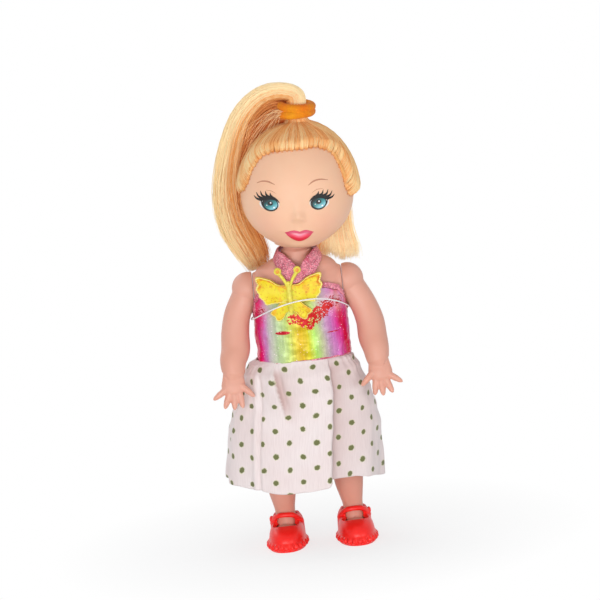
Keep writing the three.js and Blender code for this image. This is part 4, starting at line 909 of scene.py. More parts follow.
def makePonytail():  # each strand keeps its place (a, b) in the bundle's oval, and loosens as it falls
    draw = np.random.default_rng(5)
    drawn = lambda low, high, number: draw.uniform(low, high, (number, 1))
    for name, which, number, count, fill, (tone, fall) in pony["bundles"]:
        track = through(pony[which], 200)
        run = unit(np.gradient(track[:, :3], axis=0))
        inside = unit(np.cross(run, np.array([0, 1, 0])))
        depth = np.cross(run, inside)
        angle = draw.uniform(0, 2 * math.pi, number)
        reach = np.sqrt(draw.uniform(*fill, number))
        a, b = reach * np.cos(angle), reach * np.sin(angle)
        end = 1 - 0.38 * draw.uniform(0, 1, number) ** 1.5 + 0.03 * draw.normal(size=number)
        s = np.linspace(0, 1, count)[None, :] * np.clip(end, 0.6, 1.0)[:, None] * (len(track) - 1)
        i = np.minimum(s.astype(int), len(track) - 2)
        t = (s - i)[..., None]
        mix = lambda values: values[i] * (1 - t) + values[i + 1] * t
        centre, wide, deep = mix(track[:, :3]), mix(track[:, 3:4]), mix(track[:, 4:5])
        s = s / len(track)
        loose = smooth((s - 0.1) / 0.9)[..., None]
        swirl = 0.35 * np.sin(s * drawn(3, 8, number) + drawn(0, 6.28, number))[..., None] * loose
        stray = draw.normal(0, 0.19, (number, 1, 2)) * loose ** 2
        paths = centre + mix(inside) * (wide * (a[:, None, None] + stray[..., :1]) + swirl)
        paths = paths + mix(depth) * (deep * (b[:, None, None] + stray[..., 1:]))
        # painted shade: strands darker towards the inside of the arc, where the ponytail shades itself
        tint = tone - fall * a + draw.normal(0, 0.17, number)
        taper = 1 - 0.55 * smooth((np.linspace(0, 1, count) - 0.8) / 0.2)
        radii = pony["thick"] * taper[None] * drawn(0.7, 1.2, number)
        piece = strandPiece(name, onDoll(paths), radii, np.array([0, 1.0, 0]), tint)
        give(piece, hairShine, "head", "ponytail", slot="hair")
    # core inside the ponytail, in the painted shade tone of hairDeep
    core = through(pony["line"], 200)[::5]
    points, faces = tubeGrid(core[:, :3], core[:, 3] * 0.55, 20)
    give(turnOutwards(makeMesh("ponytailCore", onDoll(points), faces)), hairDeep, "head", "ponytail", slot="hair")

    paths = []
    for k in range(pony["strays"]):
        drop, out = draw.uniform(0.2, 1.0), draw.uniform(3, 13)
        knots = [
            (-2.6, -1.6, 33.6), (-2.6 - out * 0.35, -2.4 - draw.uniform(0, 1.5), 33.6 + draw.normal(0, 0.5)),
            (-2.6 - out * 0.75, -1.5, 31.9 - 4 * drop), (-4.4 - out, 0.5, 29.6 - 12 * drop),
        ]
        paths.append(through(knots, 14))
    radii = np.full((len(paths), 14), 0.045) * np.linspace(1, 0.4, 14)
    piece = strandPiece("strayHair", onDoll(np.stack(paths)), radii, np.array([0, 1.0, 0]), np.full(len(paths), 0.85))
    give(piece, hairShine, "head", slot="hair")


# dark: middle and spread of a band of hanging strands painted darker, a clump in painted shade
backHair = dict(strands=1700, count=13, thick=0.08, top=15.5, bottom=-5.2, start=(128, 60), grow=(20, 20),
    dark=(0.62, 0.09))


def makeBackHair():  # strands hang round the back from under the drawn up hair, and sag in towards the neck
    draw = np.random.default_rng(8)
    number = backHair["strands"]
    drawn = lambda low, high: draw.uniform(low, high, (number, 1))
    share = draw.uniform(0, 1, number)
    s = np.linspace(0, 1, backHair["count"])[None, :]
    (start, wide), (back, more) = backHair["start"], backHair["grow"]
    turn = np.radians(start - back * s ** 1.5 + (wide + more * s ** 1.5) * share[:, None])
    top = backHair["top"] + draw.uniform(-1.5, 0.8, number)
    bottom = backHair["bottom"] + 3.2 * draw.uniform(0, 1, number) ** 2
    bottom = bottom + 0.8 * np.sin(share * 19) + 1.6 * smooth((share - 0.5) / 0.5)
    z = top[:, None] + (bottom - top)[:, None] * s
    sag = np.clip((skull["level"] - z) / 18, 0, 1) ** 1.2
    layer = drawn(0, 1.5) * (1 + 0.4 * s) + 1.15
    layer = 0.75 + (layer - 0.75) * smooth((s - 0.02) / drawn(0.12, 0.4))
    shrink = 1 - 0.4 * np.clip((z - skull["level"]) / 6, 0, 1) ** 2
    flare = smooth((4 - z) / 8) * (1 - smooth(share / 0.5))[:, None]
    wide = skull["wide"] + layer * shrink - 2.6 * sag + 1.7 * flare
    deep = skull["back"] + layer * shrink - 4.6 * sag
    around = turn + (0.05 * np.sin(5 * s + drawn(0, 6.28)) * s + draw.normal(0, 0.06, (number, 1)) * s ** 2)
    paths = pointGrid(np.sin(around) * wide, -np.cos(around) * deep, z)
    middle, spreadOut = backHair["dark"]
    # painted shade: the band of strands given by dark is darker
    tint = 0.95 + draw.normal(0, 0.15, number) - 0.6 * np.exp(-(((share - middle) / spreadOut) ** 2))
    radii = backHair["thick"] * (1 - 0.55 * smooth((s - 0.8) / 0.2)) * drawn(0.7, 1.2)
    piece = strandPiece("backHair", onDoll(paths), radii, unit(paths * np.array([1, 1, 0])), tint)
    give(piece, hairPale, "head", "back_hair", slot="hair")


tie = dict(radius=3.62, sides=18, loops=[(33.5, 0.10, 0.3, 1.2), (35.2, -0.06, 1.2, 1.15), (34.5, 0.24, 3.2, 0.95)])


def makeHairTie():  # rings that wobble by a sine of twice the turn, each leaning its own way
    paint = Paint("Hair tie elastic", 0.7, Sheen_Weight=0.1, Specular_IOR_Level=0.25)
    where = paint.where()
    fuzz = where.noise(2600, 3, 0.7)
    tone = where.noise(230, 3).ramp([(0.3, (0.93, 0.47, 0.04)), (0.5, (0.93, 0.54, 0.02)), (0.75, (0.94, 0.63, 0.03))])
    paint.colour(tone.mixed(0.3, fuzz.ramp([(0.3, (0.7, 0.5, 0.3)), (0.7, 1)]), "MULTIPLY"))
    paint.bump(fuzz, 0.6, 0.00012)
    turn = circle(90)
    parts = []
    for z, lean, swing, cord in tie["loops"]:
        radius = tie["radius"] + 0.2 * np.sin(2 * turn + swing)
        ring = pointGrid(radius * np.cos(turn), radius * np.sin(turn), z + lean * radius * np.cos(turn + swing))
        out, up = unit(ring * np.array([1, 1, 0])), np.broadcast_to(np.array([0, 0, 1.0]), ring.shape)
        points, faces = loopGrid(ring, out, up, cord * (1 + 0.05 * np.sin(turn * 26))[:, None], tie["sides"])
        parts.append((onDoll(points), faces))
    give(joined("hairTie", parts), paint, "head", "hair_tie", slot="hair_tie")


makeScalpHair()
makePonytail()
makeBackHair()
makeHairTie()
print("hair done")


# Dress.

dress = dict(
    bottomZ=49.2, opening=5.0, glitter=4200.0,
    tops=[(0, 67.0), (26, 67.2), (46, 66.2), (57, 64.7), (66, 62.0), (74, 60.2), (112, 59.9), (180, 61.2)],
    bands=[  # colours from the doll's right to its left
        (0.03, (0.90, 0.06, 0.42)), (0.06, (0.92, 0.0, 0.34)), (0.095, (0.93, 0.14, 0.56)), (0.125, (0.84, 0.54, 0.80)),
        (0.165, (0.79, 0.74, 0.76)), (0.27, (0.75, 0.84, 0.62)), (0.35, (0.76, 0.83, 0.42)), (0.42, (0.82, 0.78, 0.25)),
        (0.48, (0.87, 0.71, 0.0)), (0.54, (0.82, 0.77, 0.06)), (0.62, (0.73, 0.92, 0.42)), (0.68, (0.75, 0.77, 0.58)),
        (0.74, (0.76, 0.62, 0.72)), (0.80, (0.84, 0.47, 0.76)), (0.86, (0.88, 0.20, 0.58)), (0.90, (0.86, 0.0, 0.24)),
        (0.93, (0.86, 0.02, 0.32)), (0.96, (0.88, 0.30, 0.66)),
    ],
    # spots are x, z, half width and half height
    silvery=[(8.0, 63.8, 4.2, 2.4), (-9.4, 62.6, 1.4, 1.4)],
    magenta=[(-11.4, 63.2, 1.9, 2.4), (-11.6, 59.6, 1.5, 2.0), (10.9, 59.2, 1.2, 1.9)],
    specks=[(8.2, 63.6, 3.4, 1.8), (-10.2, 62.2, 1.6, 1.4), (5.2, 60.9, 2.4, 1.6)],
    red=[
        (-2.3, 59.9, 1.5, 1.1), (-0.3, 60.6, 1.6, 0.9), (0.9, 59.3, 1.2, 1.3), (2.2, 59.1, 1.5, 1.7),
        (3.6, 60.4, 1.8, 1.5),
        (5.6, 61.6, 1.6, 1.2), (7.3, 62.6, 1.2, 0.8), (2.3, 57.5, 0.5, 0.5), (0.2, 59.6, 0.9, 0.6),
    ],
    dashes=[(-5.0, 56.7, 2.0, 0.5), (7.8, 55.7, 1.6, 0.16)],
)


def bodyPoint(t, z, grow):  # round the bodice, t in radians from straight ahead
    return torsoPoint(t - math.pi / 2, z, grow)


def backTurn(reach):  # turn from straight back at which the bodice is this far from the middle
    return math.asin((reach / 11.5) ** 1.15)


def glittered(paint, where, colour, deep, flashes):  # small flakes, each painted lighter or darker as if tilted to the light, and the brightest share painted near white: painted glints and painted shade
    level = where.cells(dress["glitter"])
    base = colour.mixed(deep, level.ramp([(0.0, 0.42), (0.55, 0.9), (0.86, 1), (1.0, 1)]), "MULTIPLY")
    bright = level.ramp([(0.0, 0), (1 - flashes, 0), (1.0, 0.75)])
    paint.colour(base.mixed(bright, (1.0, 0.93, 0.96)))
    return level


def pinkMaterial():  # two pinks by noise, under glitter flakes with painted glints and painted shade
    paint = Paint("Pink glitter", 0.42, Metallic=0.1)
    where = paint.where()
    tone = where.noise(420, 3).ramp([(0.3, (0.86, 0.34, 0.46)), (0.7, (0.98, 0.62, 0.68))])
    paint.bump(glittered(paint, where, tone, 0.6, 0.14), 0.8)
    return paint


def foilMaterial():  # printed foil: a ramp of bands across the chest, then soft spots and broken flakes over them
    paint = Paint("Iridescent foil cloth", 0.34, Metallic=0.15, Specular_IOR_Level=0.25, Coat_Weight=0.08,
        Coat_Roughness=0.15)
    where = paint.where()
    parts = where.parts()
    drift = where.stretched((260, 260, 110)).noise(1.0, 3)
    reach = (parts[0] * 100).math("MAXIMUM", 0.0)
    lean = reach * reach * (parts[2] * (170 / 26) + -0.055 * 170 / 26)
    colour = (parts[0] * (1000 / 26) + lean + (drift * 0.12 + 0.44)).ramp(dress["bands"])
    lines = where.stretched((1700, 1700, 70)).noise(1.0, 3)
    colour = colour.mixed(0.4, lines.ramp([(0.3, (0.70, 0.70, 0.72)), (0.6, 1)]), "MULTIPLY")
    coarse, fine = where.cells(3300.0), where.cells(3600.0)
    colour = colour.mixed(spread(parts, dress["silvery"]).math("MULTIPLY", 0.75, clamp=True), (0.86, 0.74, 0.76))
    magenta = spread(parts, dress["magenta"]).math("MULTIPLY", fine * 0.9 + 0.3, clamp=True)
    colour = colour.mixed(magenta, (0.88, 0.03, 0.36))
    specks = (spread(parts, dress["specks"]) * fine).ramp([(0.46, 0), (0.52, 1)])
    colour = colour.mixed(specks, (0.68, 0.04, 0.08))
    flecks = (spread(parts, dress["red"]) * (coarse * 1.3 + 0.12)).ramp([(0.40, 0), (0.45, 1)])
    colour = colour.mixed(flecks, (0.78, 0.0, 0.0))
    for dash in dress["dashes"]:
        colour = colour.mixed(farFrom(parts, *dash).ramp([(0.0, 1), (0.8, 1), (1.0, 0)]), (0.74, 0.02, 0.12))
    # glitter flakes on top, with painted glints and painted shade
    glittered(paint, where, colour, 0.16, 0.03)
    paint.bump(lines, 0.35)
    return paint


foilCloth, pinkCloth = foilMaterial(), pinkMaterial()


def bodiceCreases(t, z):  # two ripples, and a sine of the turn at the waist: dents and pulls of tight foil
    points = pointGrid(t * 11, 0, z)
    waist = smooth((54 - z) / 4) * 0.14 * np.sin(t * 15 + 0.6)
    return 0.16 * ripple(points, 6.5, 21) + 0.07 * ripple(points, 2.4, 22) + waist


def clothBand(name, t, low, high, inner, outer, rows, creases=True):  # band between two heights round the bodice
    z = low[None, :] + (high - low)[None, :] * np.linspace(0, 1, rows)[:, None]
    turn = np.broadcast_to(t[None, :], z.shape)
    swell = np.maximum(bodiceCreases(turn, z), -0.12) if creases else 0.0
    uv = pointGrid(turn * 11 * mm, z * mm)
    return sheetPiece(name, bodyPoint(turn, z, outer + swell), bodyPoint(turn, z, inner), False, uv)


def makeBodice():  # band between the hem's and the neckline's heights, with its edge and its trim
    reach = math.pi - backTurn(dress["opening"] / 2)
    t = np.linspace(-reach, reach, 260)
    top = along(dress["tops"], np.degrees(np.abs(t)))
    low = dress["bottomZ"] - 0.25 + 0.25 * np.sin(t * 2 + 0.4)
    piece = give(clothBand("bodiceFoil", t, low, top, 0.3, 0.95, 70), foilCloth, "torso", "bodice", slot="bodice_foil")
    edge = tubeGrid(bodyPoint(t, low - 0.05, 0.8), np.full(len(t), 0.24), 10, (0, 0, 1))
    give(makeMesh("bodiceEdge", *edge), pinkCloth, "torso", slot="pink_glitter")
    rough = 0.18 * ripple(pointGrid(t * 11, 0, 0), 1.4, 31)
    trim = clothBand("bodiceTrim", t, top + 0.12, top + 1.45 + rough, 0.3, 1.12, 10)
    give(trim, pinkCloth, "torso", "bodice_trim", slot="pink_glitter")


tapes = dict(
    low=49.7, high=62.5,  # then name, half width, inner and outer growth and node
    layers=[("loopTape", 2.2, 0.32, 0.8, "closure_loop_tape"), ("hookTape", 4.1, 1.32, 1.8, "closure_hook_tape")],
)


def makeTapes():  # two bands over the back opening, fuzzy by the distance between cells
    paint = Paint("Fastening tape", 0.85, Sheen_Weight=0.3)
    loops = add(paint.tree, "TexVoronoi", {"Vector": paint.where(), "Scale": 2600.0}, "Distance")
    paint.colour(loops.ramp([(0.1, (0.93, 0.91, 0.93)), (0.6, (0.80, 0.77, 0.80))]))
    paint.bump(loops, 0.7, 0.00012)
    for name, half, inner, outer, node in tapes["layers"]:
        t = np.linspace(math.pi - backTurn(half), math.pi + backTurn(half), 40)
        piece = clothBand(name, t, np.full(40, tapes["low"]), np.full(40, tapes["high"]), inner, outer, 40, False)
        give(piece, paint, "torso", node, slot="tape")


strap = dict(
    width=4.1, backWidth=2.8, thickness=0.6, neckX=0.6,
    stations=[  # x from the neck, y, z, then the outward normal
        (1.2, -7.9, 69.2, 0, -1, 0.12), (1.6, -7.4, 71.0, 0.12, -1, 0.3), (2.9, -6.6, 73.3, 0.32, -1, 0.4),
        (4.65, -4.1, 75.1, 0.5, -0.8, 0.4), (5.5, -0.6, 75.9, 0.85, -0.2, 0.4), (4.1, 3.8, 76.0, 0.6, 0.55, 0.35),
        (0, 5.35, 76.0, 0, 1, 0.35),
    ],
)


def makeStrap():  # flat superellipse carried along the path round the neck, and its mirror image
    half = np.array(strap["stations"], float)
    line = through(np.concatenate([half, half[::-1][1:] * np.array([-1, 1, 1, -1, 1, 1])]), 180)
    path = line[:, :3] + np.array([strap["neckX"], 0, 0])
    run = unit(np.gradient(path, axis=0))
    out = unit(line[:, 3:] - run * np.sum(line[:, 3:] * run, axis=1, keepdims=True))
    across = np.cross(run, out)
    turn = circle(24)
    behind = np.clip((path[:, 1] + 7) / 6, 0, 1)
    width = (strap["width"] + (strap["backWidth"] - strap["width"]) * behind) * (1 + 0.05 * ripple(path, 1.3, 41))
    wide = bulge(np.cos(turn), 0.35) / 2
    tall = bulge(np.sin(turn), 0.6) * strap["thickness"] / 2
    sideways = across[:, None] * (wide[None, :] * width[:, None])[..., None]
    rings = path[:, None] + sideways + out[:, None] * tall[None, :, None]
    piece = turnOutwards(makeMesh("halterStrap", *ringsGrid(rings)))
    give(piece, pinkCloth, "torso", "halter_strap", slot="pink_glitter")
    length = float(np.linalg.norm(np.diff(path, axis=0), axis=1).sum()) * mm


butterfly = dict(
    middle=(-2.3, -8.9, 68.4), thickness=0.8, lean={1: 3.0, -1: 12.0}, feelerTip=(2.5, 4.6),
    upper=[
        (-0.5, 0.9), (2.4, 0.9), (4.6, 2.3), (6.6, 3.0), (8.2, 3.3), (8.5, 2.4), (8.1, 1.3), (8.6, 0.2), (8.0, -1.2),
        (7.9, -2.0),
        (6.9, -3.0), (6.2, -4.1), (4.6, -3.9), (2.2, -3.7), (-0.5, -3.4),
    ],
    lower=[
        (-0.5, -2.6), (2.0, -3.2), (3.6, -4.7), (5.3, -6.1), (4.9, -6.9), (4.3, -7.2), (3.9, -8.2), (3.1, -8.4),
        (2.0, -7.6),
        (1.2, -6.4), (-0.5, -5.5),
    ],
    rings=[0, 0.2, 0.45, 0.65, 0.78, 0.84, 0.88, 0.93, 0.97, 1.0],
)


def brownSpecks(where, tone, most, colour):
    fine = where.stretched(shift=(1, 0, 3)).noise(1500, 3, 0.7)
    return tone.mixed(fine.ramp([(0.56, 0), (0.66, most)]), colour)


def wingMaterial():  # yellow, greener at the middle, with orange patches, brown specks, a brown strip and a pale rim
    paint = Paint("Butterfly, yellow plastic", 0.42, Specular_IOR_Level=0.3)
    out, lead = paint.uv().parts()[:2]
    where = paint.where()
    base = where.noise(260, 3).ramp([(0.35, (0.90, 0.79, 0.04)), (0.65, (0.94, 0.87, 0.20))])
    nearX = (where.parts()[0] - butterfly["middle"][0] * mm).math("ABSOLUTE") * (1000 / 4.0)
    base = base.mixed(nearX.ramp([(0.0, 0.75), (0.5, 0.25), (1.0, 0)]), (0.70, 0.78, 0.22))
    patches = where.stretched(shift=(0, 2, 0)).noise(380, 2).ramp([(0.56, 0), (0.66, 1)])
    base = brownSpecks(where, base.mixed(patches * 0.55, (0.95, 0.62, 0.12)), 0.85, (0.80, 0.47, 0.08))
    strip = out.ramp([(0.0, 0), (0.70, 0), (0.80, 1), (0.90, 1), (0.93, 0)]) * lead
    base = base.mixed(strip * where.noise(700, 3).ramp([(0.38, 0.25), (0.55, 1)]), (0.86, 0.50, 0.08))
    rim = out.ramp([(0.0, 0), (0.90, 0), (0.94, 1), (0.975, 1), (0.985, 0)])
    paint.colour(base.mixed(rim, (0.96, 0.91, 0.55)))
    paint.bump(where.stretched((900, 900, 300)).noise(1.0, 2), 0.25)
    return paint


def makeButterfly():  # each wing: the outline shrunk to its centre in rings, the front raised near the rim
    parts, uvs = [], []
    middle = np.array(butterfly["middle"])
    half = butterfly["thickness"] / 2
    r = np.array(butterfly["rings"])[:, None, None]
    for side in (1, -1):
        outlines = ((butterfly["upper"], (3.9, -0.7), True), (butterfly["lower"], (2.3, -5.6), False))
        for outline, centre, leading in outlines:
            closed = through(outline + [outline[0]], 145)[:-1] * (1 + 0.014 * np.sin(np.arange(144) * 1.31))[:, None]
            flat = np.array(centre) + r * (closed - np.array(centre))[None]
            x, z = side * flat[..., 0], flat[..., 1]
            rounded = smooth((r[..., 0] - 0.95) / 0.05) ** 2
            tall = half * (0.80 + 0.32 * smooth((r[..., 0] - 0.82) / 0.06) - 0.42 * rounded)
            vein = 0.10 * np.cos(9 * np.arctan2(z + 1.5, flat[..., 0] + 0.6)) * (r[..., 0] < 0.8)
            grid = np.concatenate([pointGrid(x, -(tall + vein), z), pointGrid(x, half, z)[::-1]])
            x, y = turned(grid[..., 0], grid[..., 1], side * math.radians(butterfly["lean"][side]))
            grid = pointGrid(x, y, grid[..., 2]) + middle
            parts.append((grid.reshape(-1, 3), [gridFaces(len(grid), 144, True)]))
            lead = smooth((z - centre[1]) / 1.5) if leading else 0.35 + 0 * z
            wingUv = pointGrid(r[..., 0], lead)
            uvs.append(np.concatenate([wingUv, wingUv[::-1]]).reshape(-1, 2))
    wings = joined("butterflyWings", parts, np.concatenate(uvs), near=1e-4)
    give(wings, wingMaterial(), "torso", "butterfly", slot="butterfly")

    tilt, turn = np.meshgrid(np.linspace(-1.56, 1.56, 50), circle(28), indexing="ij")
    ribs = 1 + 0.07 * np.cos(tilt * 17)
    x = 0.75 * np.cos(tilt) ** 0.7 * np.cos(turn) * ribs
    y = -half - 0.12 + 0.62 * np.cos(tilt) * np.sin(turn) * ribs
    trunk = pointGrid(x, y, -2.3 + 4.2 * np.sin(tilt))
    rows = [ringsGrid(trunk + middle)]
    paint = Paint("Butterfly body plastic", 0.4)
    where = paint.where()
    tone = where.noise(420, 3).ramp([(0.35, (0.82, 0.78, 0.22)), (0.65, (0.93, 0.88, 0.32))])
    tone = brownSpecks(where, tone, 0.8, (0.78, 0.46, 0.08))
    tipX, tipZ = butterfly["feelerTip"]
    for side in (1, -1):
        knots = [(0.3, 0, 0.3), (0.9, 0.1, 1.9), (1.75, 0.1, 3.3), (2.4, 0, 4.2)]
        feeler = through([(x * side, -half - ahead, z) for x, ahead, z in knots], 20)
        rows.append(tubeGrid(feeler + middle, np.linspace(0.34, 0.5, 20), 14))
        rows.append(roundGrid(middle + (tipX * side, -half, tipZ), (0.98, 0.5, 0.94), 14, 20))
        far = farFrom(where.parts(), middle[0] + tipX * side, middle[2] + tipZ, 1, 1).math("SQRT")
        tone = tone.mixed(far.ramp([(0.4, 1), (0.6, 0)]), (0.88, 0.58, 0.08))
    paint.colour(tone)
    give(joined("butterflyBody", rows), paint, "torso", slot="butterfly")


elastic = dict(wide=12.6, front=10.95, back=9.85, z=60.0, rise=5.2, radius=0.16)


def makeElastic():  # oval ring that climbs by cos^1.5 over the chest
    t = circle(240)
    ahead = np.maximum(0, np.cos(t))
    deep = np.where(np.cos(t) > 0, elastic["front"], elastic["back"])
    z = elastic["z"] + elastic["rise"] * ahead ** 1.5 + 1.0 * np.sin(t) * ahead + 0.4 * np.sin(t)
    path = pointGrid(elastic["wide"] * np.sin(t), -deep * np.cos(t), z)
    run = unit(np.roll(path, -1, axis=0) - np.roll(path, 1, axis=0))
    across = unit(np.cross(np.array([0, 0, 1.0]), run))
    twist = 1 + 0.08 * np.sin(circle(14)[None, :] * 3 + t[:, None] * 130)
    piece = joined("chestElastic", [loopGrid(path, across, np.cross(run, across), elastic["radius"] * twist, 14)])
    paint = mottled(
        "White elastic", 0.5, 4200, 2, [(0.3, (0.86, 0.85, 0.86)), (0.7, (0.98, 0.98, 0.98))], (4200, 2, 0.4, 0.00005),
        Sheen_Weight=0.2)
    give(piece, paint, "torso", "chest_elastic", slot="elastic")


skirt = dict(
    topZ=49.1, topWidth=12.1, topDepth=8.5, width=20.6, depth=14.6, thick=0.32, rows=90, columns=220,
    dot=1.4, spacing=(7.0, 6.6), bend=(0.0478, 0.0345),  # bend: two heights, in metres
    flare=[(0, 0), (0.04, 0.20), (0.12, 0.36), (0.31, 0.61), (0.46, 0.80), (0.6, 0.91), (1, 1)],
    shift=[(0, -0.5), (0.05, -0.9), (0.3, -0.8), (0.5, -1.5), (0.75, -2.2), (1, -2.9)],
    swell=[(0, 0), (0.14, 0.28), (0.3, 0.48), (1, 1)],
    hem=[
        (-190, 18.4), (-120, 18.9), (-90, 18.6), (-62, 18.0), (-42, 17.3), (-14, 15.9), (0, 16.1), (15, 16.6),
        (22, 18.2),
        (41, 18.1), (58, 17.2), (90, 15.9), (190, 17.5),
    ],
)


def skirtMaterial():  # dots at the nearest of two shifted square nets, on ribbed cloth, with painted shade in pink where the shade attribute is high
    paint = Paint("Dotted crinkle cloth", 0.9, Sheen_Weight=0.35, Sheen_Roughness=0.4)
    uv = paint.uv()
    drift = add(paint.tree, "TexNoise", {"Vector": uv, "Scale": 160.0, "Detail": 1.0}, "Color")
    shifted = add(paint.tree, "VectorMath", {0: drift, 1: (0.0016, 0.0012, 0)}, operation="MULTIPLY")
    parts = add(paint.tree, "VectorMath", {0: uv, 1: shifted}, operation="ADD").parts()
    nearest = 9.0
    for shift in (0.0, 0.5):
        nets = zip(parts, skirt["spacing"])
        u, v = [(part * (1000 / size) + (shift + 20)).math("FRACT") - 0.5 for part, size in nets]
        nearest = (u * u + v * v).math("SQRT").math("MINIMUM", nearest)
    far = nearest + (uv.noise(2600, 2) * 0.07 - 0.035)
    edge = skirt["dot"] / 2 / skirt["spacing"][0]
    dots = far.ramp([(edge - 0.012, 1), (edge + 0.014, 0)])
    ribs = uv.stretched((4200, 260, 1)).noise(1.0, 2, 0.6)
    cloth = ribs.ramp([(0.3, (0.895, 0.845, 0.838)), (0.6, (0.925, 0.88, 0.873))])
    cloth = cloth.mixed(0.35, uv.noise(70, 2).ramp([(0.35, (0.95, 0.89, 0.885)), (0.65, 1)]), "MULTIPLY")
    # painted shade: the cloth turns pinker and darker in the shadow of the front pleat and the leaning fold
    cloth = cloth.mixed(paint.attribute("shade"), (0.74, 0.59, 0.565))
    rim = far.ramp([(edge - 0.002, 0), (edge + 0.006, 1), (edge + 0.03, 0)])
    cloth = cloth.mixed(rim * 0.6, (0.80, 0.82, 0.48))
    paint.colour(cloth.mixed(dots * 0.97, (0.40, 0.42, 0.22)))
    below = paint.bump(ribs, 0.28)
    paint.bump(uv.stretched((6500, 4500, 1)).noise(1.0, 1), 0.3, 0.00006, Normal=below)
    return paint


def pleatTurn(down):  # the front pleat runs towards the middle by a parabola as it falls
    return 0.50 - 0.40 * down + 0.205 * down ** 2


def foldLine(t, z):  # where the front's leaning fold runs, and how strong it is at a height
    return -8.3 + 1.9 * smooth((47 - z) / 13), smooth((z - 33) / 7) * smooth((48.5 - z) / 3) * (np.cos(t) > 0)


def skirtWidth(down):  # half width: waist + (hem - waist) times the flare
    return skirt["topWidth"] + (skirt["width"] - skirt["topWidth"]) * along(skirt["flare"], down)


def skirtPoint(t, down, inward=0.0):  # oval of the flare, grown by a sine of nine folds, gathers and two leaning steps
    z = skirt["topZ"] - (skirt["topZ"] - along(skirt["hem"], np.degrees(t))) * down
    width = skirtWidth(down)
    depth = skirt["topDepth"] + (skirt["depth"] - skirt["topDepth"]) * along(skirt["swell"], down)
    calm = 0.35 + 0.65 * smooth((np.abs(t - 0.1) - 1.1) / 0.5)
    wave = 0.9 * down ** 1.2 * np.sin(9 * (t - math.pi / 2) + 0.8) * calm - 0.45 * down
    gathers = 0.07 * np.sin(t * 34 + 2 * np.sin(t * 5)) * np.exp(-((down - 0.02) / 0.16) ** 2) * smooth(down / 0.03)
    crumple = 0.08 * ripple(pointGrid(t * 18, 0, z * 0.35), 3.4, 51) * smooth(down / 0.1)
    drift = along(skirt["shift"], down)
    x = np.sin(t) * width + drift
    step = lambda past, wide: np.exp(-(past / wide) ** 2)
    lineA, foldA = foldLine(t, z)
    pastA = x - lineA
    stepA = np.where(pastA < 0, step(pastA, 3.2), step(pastA, 0.35) * 0.6 - 0.5 * step(pastA - 0.9, 0.8))
    pastB = x + 12.3 + 2.9 * smooth((47 - z) / 28)
    foldB = smooth((47.5 - z) / 4) * (np.cos(t) > 0)
    stepB = 0.45 * step(pastB + 0.7, 0.75) - 0.55 * step(pastB - 0.35, 0.42)
    grow = wave + gathers + crumple + 1.35 * foldA * stepA + foldB * stepB - inward
    return pointGrid(np.sin(t) * (width + grow) + drift, -np.cos(t) * (depth + grow), z)


def makeSkirt():  # two halves that meet at the front pleat and the back slit
    paint = skirtMaterial()
    slit = backTurn(0.55)
    down = np.linspace(0, 1, skirt["rows"])[:, None]
    share = np.linspace(0, 1, skirt["columns"])[None, :]
    pleat = pleatTurn(down)
    wide = skirtWidth(down)
    for name, body, side, cut in (("skirtRight", "right_leg", -1, 0.064), ("skirtLeft", "left_leg", 1, 0.052)):
        if side < 0:  # its front edge lies over the other half and is turned under
            start, end = -math.pi + slit, pleat + 0.03
            t = start + (end - start) * share
            step = 0.95 * np.exp(-(((pleat - t) / 0.5) ** 2)) * down ** 0.6
            roll = 0.5 * smooth((t - (end - 0.035)) / 0.035) * down ** 0.3
        else:
            start, end = pleat - 0.22, math.pi - slit
            t = start + (end - start) * share
            step = -1.5 * np.exp(-(((t - pleat) / 0.5) ** 2)) * down ** 0.6 - 0.3
            roll = 0.0
        t, high = np.broadcast_arrays(t, down)
        outer = skirtPoint(t, high, roll - step)
        inner = skirtPoint(t, high, roll - step + skirt["thick"])
        plain = pointGrid(np.sin(t) * wide, np.cos(t) * wide * 0.72)
        across = np.cumsum(np.linalg.norm(np.diff(plain, axis=1, prepend=plain[:, :1]), axis=2), axis=1)
        front = across[:, -1:] if side < 0 else across[:, :1]
        widening, falling = np.diff(wide, axis=0, prepend=wide[:1]), np.diff(down, axis=0, prepend=down[:1])
        fall = np.cumsum(np.hypot(widening, falling * 32), axis=0)
        fall = (skirt["topZ"] - outer[..., 2]) * fall / np.maximum(down * 32, 0.01)
        uv = pointGrid(across - front + (end if side < 0 else start) * wide, fall) * mm
        # painted shade: beside the leaning fold on this half, and near the front pleat on the other
        if side < 0:
            lineA, foldA = foldLine(t, outer[..., 2])
            beside = outer[..., 0] - lineA
            shade = foldA * smooth((beside + 0.2) / 0.4) * np.exp(-np.maximum(beside, 0) / 2.4) * 0.9
        else:
            shade = np.exp(-np.maximum(t - pleat, 0) / 0.26) * smooth(high / 0.12) * (1 - 0.45 * high)
        piece = sheetPiece(name, outer, inner, False, uv, {"shade": shade})
        give(piece, paint, None, "skirt", slot="skirt_cloth")
        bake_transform(piece)


makeBodice()
makeTapes()
makeStrap()
makeButterfly()
makeElastic()
makeSkirt()
print("dress done")


# Floor, light and camera, in metres except for the camera's distance and target.

studio = dict(
    lens=400, distance=1707, elevation=11, roll=-5.6, target=(0.2, 0, 63.3), floorHalf=3.0, world=0.56,
    lamps={  # place, size and power
        "keyLamp": ((-0.3, -0.95, 0.16), 0.5, 2.75), "fillLamp": ((0.6, -0.8, 0.06), 0.6, 2.3),
        "lowLamp": ((0.0, -0.32, 0.018), 0.1, 0.26), "backLamp": ((-0.5, 0.5, 0.6), 0.6, 1.5),
    },
)


def seenRays(tree):  # 1 for rays from the camera, mirrored or let through
    path = lambda name: add(tree, "LightPath", None, name)
    return path("Is Camera Ray").math("MAXIMUM", path("Is Glossy Ray").math("MAXIMUM", path("Is Transmission Ray")))


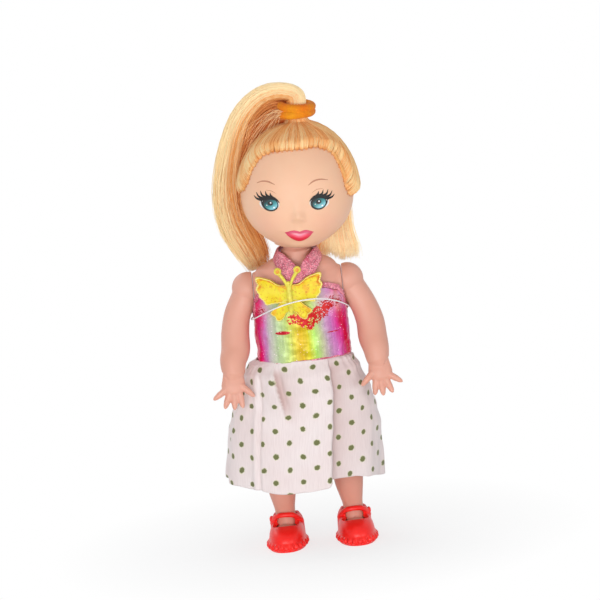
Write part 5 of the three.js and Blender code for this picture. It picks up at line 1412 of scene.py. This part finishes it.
def makeFloor():  # plain floor near the doll, where its shadow lies, and white further out
    half = studio["floorHalf"]
    corners = [(-half, -half, 0), (half, -half, 0), (half, half, 0), (-half, half, 0)]
    floor = makeMesh("floor", corners, [[(0, 1, 2, 3)]], scale=1.0)
    paint = Paint("Pale floor", 0.9)
    tree = paint.tree
    tree.nodes.remove(paint.shader)
    plain = add(tree, "BsdfDiffuse", {"Color": (0.92, 0.92, 0.92, 1)})
    white = add(tree, "Emission", {"Color": (1, 1, 1, 1), "Strength": 1.0})
    away = add(tree, "VectorMath", {0: paint.where()}, "Value", operation="LENGTH")
    far = add(tree, "MapRange", {"Value": away, "From Min": 0.02, "From Max": 0.07, "To Min": 0.74})
    mixed = add(tree, "MixShader", {0: far * seenRays(tree), 1: plain, 2: white})
    fill(tree, tree.nodes["Material Output"].inputs["Surface"], mixed)
    floor.data.materials.append(paint.made)


def makeLamp(name, place, size, power):  # round lamp that looks at the middle of the doll
    data = bpy.data.lights.new(name, "AREA")
    data.shape, data.size, data.energy = "DISK", size, power
    lamp = bpy.data.objects.new(name, data)
    lamp.location = place
    lamp.rotation_euler = (Vector((0, 0, 0.06)) - Vector(place)).to_track_quat("-Z", "Y").to_euler()
    bpy.context.scene.collection.objects.link(lamp)


def makeStudio():
    scene = bpy.context.scene
    scene.view_settings.view_transform = "Standard"
    for name, lamp in studio["lamps"].items():
        makeLamp(name, *lamp)
    scene.world = bpy.data.worlds.new("Studio")
    scene.world.use_nodes = True
    tree = scene.world.node_tree
    tree.nodes.clear()
    soft = add(tree, "Background", {"Color": (0.95, 0.97, 1.0, 1), "Strength": studio["world"]})
    white = add(tree, "Background", {"Color": (1, 1, 1, 1), "Strength": 1.0})
    mixed = add(tree, "MixShader", {0: seenRays(tree), 1: soft, 2: white})
    fill(tree, tree.nodes.new("ShaderNodeOutputWorld").inputs["Surface"], mixed)

    camera = bpy.data.objects.new("camera", bpy.data.cameras.new("camera"))
    scene.collection.objects.link(camera)
    camera.data.lens, camera.data.sensor_width, camera.data.clip_start = studio["lens"], 36, 0.01
    rise = math.radians(studio["elevation"])
    target = Vector(studio["target"]) * mm
    camera.location = target + Vector((0, -math.cos(rise), math.sin(rise))) * studio["distance"] * mm
    look = (target - camera.location).to_track_quat("-Z", "Y")
    camera.rotation_euler = (look.to_matrix() @ Matrix.Rotation(math.radians(studio["roll"]), 3, "Z")).to_euler()
    scene.camera = camera


makeFloor()
makeStudio()
print("stage done")
